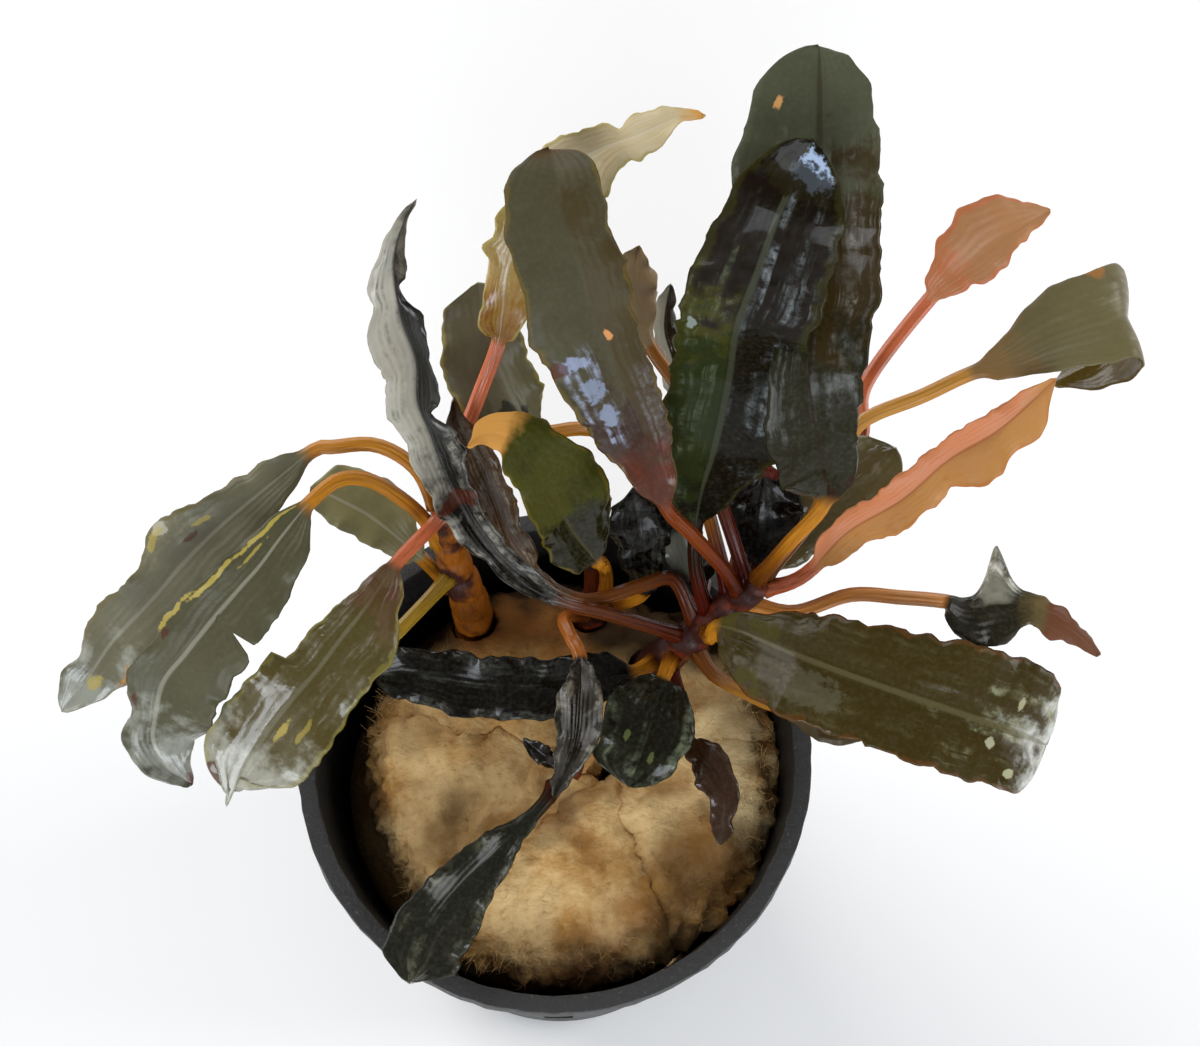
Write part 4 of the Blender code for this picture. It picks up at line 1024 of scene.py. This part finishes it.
# %% Grow the crown
grow_leaf(
    "leaf_centre_green", "stem_middle", [(5, 15.5, 51), (5, 16.5, 57), (4.5, 15.5, 64), (4, 14, 69.5)],
    [(1.5, 15.5, 75), (0, 17.5, 79), (-2, 19, 82), (-3.5, 20.5, 84), (-5.5, 21.5, 83.5),
    (-7.5, 21, 81.5)],
    right=(2.8, 4.8, 5, 4, 1.4), left=(2.5, 3.2, 2.7, 2.2, 1), curls=True, tone="green",
    gloss=0.07, dry=(76, 76, 32), wet=(48, 46, 20), wet_band=(-0.2, 0.35), uneven=0.6,
    edge=((112, 98, 44), 0.1, 0.5), rib=((84, 80, 44), 0.4), end=((206, 150, 84), 0.8), mottle=0.7)
grow_leaf(
    "leaf_centre_dark", "stem_middle", [(5.5, 15.5, 50), (8.7, 15.5, 54.5)],
    [(8.5, 17.5, 60), (8, 20.5, 64), (7.5, 22, 66.5)],
    right=(1.2, 1.8, 2.5, 2.6, 2), left=(1.5, 2, 2.5, 3, 2.5), tip=1,
    dry=(28, 22, 13), wet=(20, 15, 9), streak_size=0.8, gloss=0.04, coat=0.2,
    zones=[((104, 104, 96), 0.45, 0.1, 1)])
grow_leaf(
    "leaf_centre_back", "stem_middle", [(4, 15.5, 48), (3.5, 18.5, 53)],
    [(3, 21, 58), (2, 24, 62)],
    right=(0.9, 1.5, 1.9, 1.7, 1.2),
    gloss=0.15, dry=DARK, wet=BLACK, stalk_paint=(84, 50, 26))
grow_leaf(
    "leaf_centre_grey", "stem_right", [(14, 12, 54), (14.5, 16.2, 55.5)],
    [(13.2, 17.4, 57.8), (12.3, 19.5, 60.2), (11.3, 22, 62.8)],
    right=(1.4, 1.9, 2, 1.8, 1.2), left=(1.3, 2.1, 2.4, 2.2, 1.6), tip=0.8, tone="grey",
    dry=(34, 29, 18), wet=BLACK, gloss=0.08, stalk_paint=(110, 60, 34),
    zones=[((104, 104, 94), 0.8, 0.2, 0.7, 0, False)])
grow_leaf(
    "leaf_back_hidden", "stem_right", [(19, 13.8, 61.5), (16.5, 19, 65.5), (12.5, 29, 71), (9, 33, 76)],
    [(8, 36, 78.5), (7.5, 38, 80.5), (8, 40.5, 82)],
    right=(1, 1.5, 2, 2.2, 1.2), tone="brown",
    dry=(142, 122, 94), wet=(90, 70, 48), foot=1, stalk_paint=(150, 100, 50), wet_band=NEVER_WET)
grow_leaf(
    "leaf_back_narrow", "stem_right", [(17.5, 13.3, 59), (15, 20, 62.5), (12.5, 28, 66)],
    [(11.5, 33, 70), (10.5, 36, 72.5), (11, 39.5, 75)],
    right=(0.9, 1.3, 1.5, 1.3, 1),
    dry=(84, 80, 66), wet=(60, 54, 38), foot=1, stalk_paint=(168, 112, 56),
    zones=[(PALE, 0.6, 0.2, 1, -1, False)])
grow_leaf(
    "leaf_brown_curl", "stem_right", [(18.5, 13.5, 60.5), (19.2, 16.2, 60.8)],
    [(19.5, 17.8, 61.4), (19.6, 19.5, 62.3), (19.7, 21.5, 64), (20, 24.5, 68)],
    right=(1.6, 3.4, 4.2, 3.6, 1.8), left=(1.8, 3.4, 3.6, 2.8, 1.4), tone="brown",
    dry=(26, 20, 11), wet=(20, 14, 8), gloss=0.05, coat=0.2, streak_size=0.5, stalk_paint=(60, 32, 18),
    end=((92, 48, 30), 0.84),
    zones=[((84, 84, 78), 0.5, 0, 0.75)])

# %% [markdown]
# ## The creeping stems
# The stems are rhizomes: thick, ochre to maroon, with a ring where each old leaf sat. A stem is drawn
# out of rings like a stalk, but thicker, and its rings narrow a little at the nodes. Its colour changes
# along it in maroon patches; on the real plant the parts that the leaf bases shade stay red.

# %% Grow the stems
STEM_AROUND = 28
STEM_RINGS = 60
NODE_STEP = 3.1               # from one leaf scar to the next
STEM_LUMPS = 0.1
MAROON, OCHRE, RUST = (66, 26, 16), (150, 92, 30), (122, 62, 28)
# The lighter colour of each stem, and from where its cloud turns maroon: a smaller value makes more maroon
STEM_LOOKS = {"stem_left": (OCHRE, 0.50), "stem_right": (RUST, 0.34), "stem_middle": (RUST, 0.38)}


def stem_skin(name, light, reddened):
    made, shader, place = new_material(name)
    patchy = cloud(place, 0.22, detail=4.0)
    lines = cloud(stretched(leaf_attribute(place), (2.0, 4.0, 1.0)), 4.0, detail=3.0)
    colour = lay_over(rise(patchy, reddened, reddened + 0.12), leaf_paint(light), leaf_paint(MAROON))
    colour = lay_over(rise(lines, 0.5, 0.7) * 0.5, colour, leaf_paint(BROWN))
    dress(shader, {"Base Color": colour, "Roughness": patchy * 0.3 + 0.3, "Specular IOR Level": 0.3,
                   "Coat Weight": 0.1, "Coat Roughness": 0.1, "Normal": bump(lines, 0.4, 0.3)})
    return made


for name, (points, radii) in STEMS.items():
    line = smooth_line(points, STEM_RINGS)
    length = sum((b - a).length for a, b in zip(line, line[1:]))
    turns = [tau * corner / STEM_AROUND for corner in range(STEM_AROUND)]
    rings = []
    marks = []
    for index, (middle, run) in enumerate(zip(line, directions(line))):
        share = index / (STEM_RINGS - 1)
        scar = abs(sin(pi * share * length / NODE_STEP)) ** 8
        rounded_end = min(1.0, sqrt((1.02 - share) / 0.06))
        radius = part_way(radii, share * (len(radii) - 1)) * (1.04 - 0.12 * scar) * rounded_end
        across = run.cross(Vector((0, 1, 0.2))).normalized()
        up = across.cross(run)
        rings.append([middle + (across * cos(turn) + up * sin(turn)) * radius
                      * (1 + STEM_LUMPS * noise.noise((2 * cos(turn), 2 * sin(turn), share * length / 3)))
                      for turn in turns])
        marks.append([(cos(turn), share, sin(turn)) for turn in turns])
    mesh = rolled_skin(name + "_skin", rings, marks)
    add_piece(name + "_skin", mesh, stem_skin(name + "_finish", *STEM_LOOKS[name]), name)
    print(name, "length:", round(length, 1))

# %% [markdown]
# ## The rock wool
# The plug is spun mineral wool, torn open to take the stems, so it has soft lumps, creases and loose
# fibres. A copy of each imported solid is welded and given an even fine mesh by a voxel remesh. Noise then
# pushes its points about, more near the torn edges. The gaps between the solids are closed to creases.

# %% Set how the wool is torn
VOXEL = 0.42
TORN_FROM = 38.0              # height from which the wool shows
EDGE_FROM = 15.0              # distance from the pot's axis where the torn edge starts
EASE_OVER = 6                 # how gently both of them start
EDGE_DROP = 2.2               # how far the edge sinks
SIDE_FILL = 1.9               # how far the side bulges against the wall below that
# How far the edge is pulled in at each angle round the pot
PULLED_IN = [(200, 2.6), (225, 2.4), (245, 0.0), (262, -0.9), (280, -1.4), (310, -1.4), (335, -1.8),
             (360, -2.4), (20, -1.6), (90, 0.5), (160, 1.5)]
PULL_SPREAD = 14              # degrees
CLEFT_MIDDLE = Vector((4.5, 0.5, 0.0))
# Where each cleft runs to from the middle, and how deep it is
CLEFTS = [((-13.0, -18.0), 0.9), ((12.0, -18.5), 1.6), ((21.0, 3.5), 0.7), ((-19.0, 6.0), 0.0)]
# The middle of each hollow, its reach in x and y and its depth
HOLLOWS = [((-9.5, -6.5), (1.4, 5.0), 2.0), ((12.5, -8.5), (2.0, 6.0), 1.4), ((15.0, 3.0), (1.5, 3.0), 1.0)]
CLEFT = 0.5                   # gap between two solids of wool
SMOOTHING = 0.3
FIBRES_FROM = 43              # height from which fibres start


def pulled_in(angle):
    """How far the wool's edge is torn back at an angle round the pot, in degrees."""
    total = 0.0
    weight = 0.0
    for at, depth in PULLED_IN:
        apart = (angle - at + 180) % 360 - 180
        near = exp(-(apart / PULL_SPREAD) ** 2) + 1e-6
        total += near * depth
        weight += near
    return total / weight


def crease(place):
    """The move that closes the clefts at a point, bends them and leaves a soft crease of uneven depth."""
    move = Vector((0, 0, 0))
    for (x, y), depth in CLEFTS:
        way = (Vector((x, y, 0)) - CLEFT_MIDDLE).normalized()
        side = Vector((-way.y, way.x, 0))
        along = (place - CLEFT_MIDDLE).dot(way)
        off = (place - CLEFT_MIDDLE).dot(side)
        if along < -1:
            continue
        bend = 2.2 * noise.noise((along * 0.25, x, 0.0)) + 0.8 * noise.noise((along * 0.8, x, 3.0))
        move += side * bend * exp(-(off / 3) ** 2)
        move -= side * copysign(0.9 * CLEFT, off) * exp(-(off / CLEFT) ** 4)
        uneven = 0.6 + 0.8 * noise.noise((along * 0.3, x, 7.0))
        move.z -= depth * max(uneven, 0.0) * exp(-(off / 1.1) ** 2)
    return move


# %% Write the wool's finish
# Place, reach, colour and share of the parts that lie in shade or catch the light
WOOL_PATCHES = [(-9.0, -6.5, 5.0, (112, 80, 40), 0.6), (14.5, -9.0, 6.0, (118, 80, 38), 0.75),
                (-14.5, 4.0, 4.0, (150, 116, 70), 0.4), (16.5, 3.0, 4.5, (240, 218, 166), 0.7),
                (18.5, -4.5, 3.0, (236, 212, 160), 0.7), (4.0, -19.0, 4.0, (120, 74, 44), 0.4)]


def wool_skin():
    made, shader, place = new_material("wool_finish")
    x, y, z = parts(place)
    lumps = cloud(place, 0.13, detail=5.0, rough=0.6)
    fuzz = cloud(stretched(place, (1.0, 1.4, 1.0)), 1.2, detail=5.0, rough=0.6)
    front_edge_shade = y + (cloud(place, 0.4, detail=4.0) - 0.5) * 5.0
    shade = y + (lumps - 0.5) * 6.0
    torn = (cloud(place, 0.3, detail=4.0) - 0.5) * 8.0
    layers = [(rise(fuzz, 0.45, 0.75) * 0.3, (232, 204, 150)),
              (rise(fuzz, 0.5, 0.25) * 0.3, (140, 98, 50)),
              # Painted shade along the front edge, where the wool drops towards the pot wall.
              (rise(front_edge_shade, -18.6, -20.8) * 0.85, (70, 44, 30)),
              (rise(shade, 8.5, 13.0) * 0.95, (42, 27, 14)),
              (rise(cloud(place, 0.11, detail=3.0), 0.52, 0.66) * 0.6, (142, 92, 44))]
    for middle_x, middle_y, reach, over, share in WOOL_PATCHES:
        far = distance(x - middle_x, y - middle_y) + torn
        layers.append((rise(far, reach * 1.2, reach * 0.4) * share, over))
    # Painted shade deep in the pot: the wool below 43.5 mm is darker.
    layers.append((rise(z, 43.5, 40.0) * 0.7, (70, 50, 30)))
    colour = lay_over(rise(lumps, 0.38, 0.62), paint(184, 138, 78), paint(224, 190, 134))
    for mask, over in layers:
        colour = lay_over(mask, colour, paint(*over))
    dress(shader, {"Base Color": colour, "Roughness": 0.95, "Specular IOR Level": 0.2,
                   "Normal": bump(fuzz, 0.7, 0.5)})
    return made


wool_finish = wool_skin()


# %% Tear the wool
def torn_place(place):
    """Where a point of the wool goes."""
    out = Vector((place.x, place.y, 0))
    radius = out.length
    out.normalize()
    shown = ease((place.z - TORN_FROM) / EASE_OVER)
    edge = ease((radius - EDGE_FROM) / EASE_OVER)
    lump = 1.5 * noise.fractal(place * 0.14, 1.0, 2.0, 2) + 0.5 * noise.fractal(place * 0.45, 1.0, 2.0, 2)
    tuft = noise.fractal(place * 1.1, 0.8, 2.1, 3)
    new = place + shown * crease(place)
    new.z += shown * (lump + 0.12 * tuft - EDGE_DROP * edge ** 2)
    for (x, y), (across, along), depth in HOLLOWS:
        new.z -= shown * depth * exp(-((place.x - x) / across) ** 2 - ((place.y - y) / along) ** 2)
    pull = pulled_in(degrees(atan2(out.y, out.x)))
    new += out * shown * edge * (0.9 * tuft + 0.8 * noise.noise(place * 0.5) - pull)
    if edge > 0:
        new += out * SIDE_FILL * ease((place.z - 10) / 8) * (1 - ease((place.z - TORN_FROM + 2) / 4))
    return new


torn_points = []
for side in ("front", "right", "back", "left"):
    node = "rock_wool_" + side
    bm = bmesh.new()
    bm.from_mesh(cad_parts[node].data)
    bmesh.ops.remove_doubles(bm, verts=bm.verts, dist=WELD)
    block = new_object(node + "_rough", mesh_from(bm, node + "_rough"))
    remesh = block.modifiers.new("even", "REMESH")
    remesh.mode = "VOXEL"
    remesh.voxel_size = VOXEL * MM
    bm = bmesh.new()
    bm.from_mesh(settled(block))
    for vert in bm.verts:
        vert.co = torn_place(vert.co / MM) * MM
    bmesh.ops.smooth_vert(bm, verts=bm.verts, factor=SMOOTHING, use_axis_x=True, use_axis_y=True,
                          use_axis_z=True)
    bm.normal_update()
    torn_points += [(vert.co / MM, vert.normal.copy()) for vert in bm.verts
                    if vert.co.z > FIBRES_FROM * MM]
    wool_mesh = mesh_from(bm, node + "_torn")
    add_piece(node + "_torn", wool_mesh, wool_finish, node)
    print(node, "faces:", len(wool_mesh.polygons))

# %% [markdown]
# ## The loose fibres
# Torn wool is never smooth: short fibres stand off it, most of them along its edge. They are thin
# strands that start at points of the torn skin. Each is a little curved and gets thinner to its end.

# %% Pull loose fibres out of the wool
FIBRES = 3600
FIBRE_RADIUS = 0.035
FIBRE_REACH = 22.0            # how far from the pot's axis a fibre may end, which keeps it inside the wall
FIBRE_EDGE_FROM = 14          # how far from the axis they grow denser and longer
FIBRES_UP_TO = 12             # no fibres are needed behind this, where the leaves hide the wool
dice = random.Random("fibres")
loose = bpy.data.curves.new("wool_fibres", "CURVE")
loose.dimensions = "3D"
loose.bevel_depth = FIBRE_RADIUS * MM
loose.bevel_resolution = 0
while len(loose.splines) < FIBRES:
    place, normal = dice.choice(torn_points)
    at_edge = ease((hypot(place.x, place.y) - FIBRE_EDGE_FROM) / EASE_OVER)
    if place.y > FIBRES_UP_TO or dice.random() > 0.3 + 0.7 * at_edge:
        continue
    aside = Vector([dice.uniform(-1, 1) for _ in range(3)])
    run = (aside + normal * dice.uniform(-0.1, 0.35 + 0.5 * at_edge)).normalized()
    sag = Vector([dice.uniform(-0.4, 0.4) for _ in range(3)])
    length = dice.uniform(0.4, 1.3 + 0.5 * at_edge)
    tip = place + run * length + sag
    if hypot(tip.x, tip.y) > FIBRE_REACH:
        continue
    spline = loose.splines.new("POLY")
    spline.points.add(3)
    for index, point in enumerate(spline.points):
        share = index / 3
        point.co = (*((place + run * length * share + sag * share * share) * MM), 1)
        point.radius = 1 - 0.6 * share
fibre_mesh = settled(new_object("wool_fibres", loose))
fibre_mesh.materials.clear()
add_piece("wool_fibres", fibre_mesh, wool_finish)
print("fibre faces:", len(fibre_mesh.polygons))

# %% [markdown]
# ## The net pot
# The pot is thin black plastic with a flat rim. Its wall is turned from a profile, and the slots are cut
# out with boxes. The rim's edges get a small bevel, because a sharp edge never catches light, and the
# plastic is scuffed there.

# %% Turn the pot and cut its slots
POT_HEIGHT = 50.0
RIM = 25.0
RIM_WIDTH = 1.7
RIM_DEPTH = 2.0
BASE = 17.0
WALL = 1.2
FLOOR_THICKNESS = 1.5
POT_SIDES = 120
SLOTS = 10
SLOT_WIDTH = 3.0
SLOT_LOW, SLOT_HIGH = 9.0, 28.0
FOOT_SLOT_LENGTH = 9.0


def object_from(bm, name):
    bmesh.ops.recalc_face_normals(bm, faces=bm.faces)
    bmesh.ops.scale(bm, vec=(MM, MM, MM), verts=bm.verts)
    return new_object(name, mesh_from(bm, name))


under_rim = POT_HEIGHT - RIM_DEPTH
profile = [(0, 0), (BASE, 0), (RIM - RIM_WIDTH + WALL / 2, under_rim), (RIM, under_rim), (RIM, POT_HEIGHT),
           (RIM - RIM_WIDTH, POT_HEIGHT), (BASE - WALL, FLOOR_THICKNESS), (0, FLOOR_THICKNESS)]
bm = bmesh.new()
corners = [bm.verts.new((radius, 0.0, height)) for radius, height in profile]
for low, high in zip(corners, corners[1:]):
    bm.edges.new((low, high))
bmesh.ops.spin(bm, geom=bm.verts[:] + bm.edges[:], cent=(0, 0, 0), axis=(0, 0, 1), angle=tau,
               steps=POT_SIDES, use_merge=True)
bmesh.ops.remove_doubles(bm, verts=bm.verts, dist=0.0001)
shell = object_from(bm, "pot_shell")

bm = bmesh.new()
for index in range(SLOTS):
    turn = tau * (index + 0.5) / SLOTS
    cuts = [((BASE, SLOT_WIDTH, SLOT_HIGH - SLOT_LOW),
             (RIM - RIM_WIDTH - WALL, 0, (SLOT_LOW + SLOT_HIGH) / 2))]
    if index % 2:
        cuts.append(((FOOT_SLOT_LENGTH, SLOT_WIDTH, 4 * FLOOR_THICKNESS), (BASE / 2, 0, 0)))
    for size, centre in cuts:
        verts = bmesh.ops.create_cube(bm, size=1.0)["verts"]
        bmesh.ops.scale(bm, vec=size, verts=verts)
        bmesh.ops.translate(bm, vec=centre, verts=verts)
        for vert in verts:
            x, y, z = vert.co
            vert.co = (x * cos(turn) - y * sin(turn), x * sin(turn) + y * cos(turn), z)
cutter = object_from(bm, "slot_cutter")
change = shell.modifiers.new("slots", "BOOLEAN")
change.operation = "DIFFERENCE"
change.solver = "EXACT"
change.object = cutter
pot_mesh = settled(shell)
bpy.data.objects.remove(cutter)


# %% Finish the pot
RIM_BEVEL = 0.22
SHARP_FROM = radians(50)
SMOOTH_UP_TO = radians(35)
DENTS_FROM = 46               # height from which the rim is a little uneven


def pot_plastic():
    made, shader, place = new_material("pot_finish")
    grain = cloud(place, 1.6, detail=6.0, rough=0.7)
    scuff = rise(cloud(place, 2.2, detail=5.0, rough=0.75), 0.60, 0.68)
    on_rim = rise(parts(place)[2], POT_HEIGHT - 1.0, POT_HEIGHT - 0.1)
    colour = lay_over(on_rim * 0.8, paint(12, 12, 11), paint(30, 29, 28))
    colour = lay_over(scuff * (on_rim * 0.55 + 0.15), colour, paint(104, 104, 106))
    dress(shader, {"Base Color": colour, "Roughness": grain * 0.3 + 0.34, "Normal": bump(grain, 0.8, 0.35)})
    return made


bm = bmesh.new()
bm.from_mesh(pot_mesh)
sharp = [edge for edge in bm.edges if len(edge.link_faces) == 2 and edge.calc_face_angle() > SHARP_FROM]
bmesh.ops.bevel(bm, geom=sharp, offset=RIM_BEVEL * MM, offset_type="OFFSET", affect="EDGES", segments=2,
                profile=0.5, material=-1, clamp_overlap=True)
for vert in bm.verts:
    place = vert.co / MM
    if place.z > DENTS_FROM:
        out = Vector((place.x, place.y, 0)).normalized()
        vert.co += out * MM * (0.16 * noise.noise(place * 0.7) + 0.10 * noise.noise(place * 2.0))
        vert.co.z += MM * 0.10 * noise.noise(place * 1.3)
bm.to_mesh(pot_mesh)
bm.free()
pot_mesh.materials.clear()
add_piece("pot_shell", pot_mesh, pot_plastic(), "pot")
pot_mesh.set_sharp_from_angle(angle=SMOOTH_UP_TO)
print("pot faces:", len(pot_mesh.polygons))
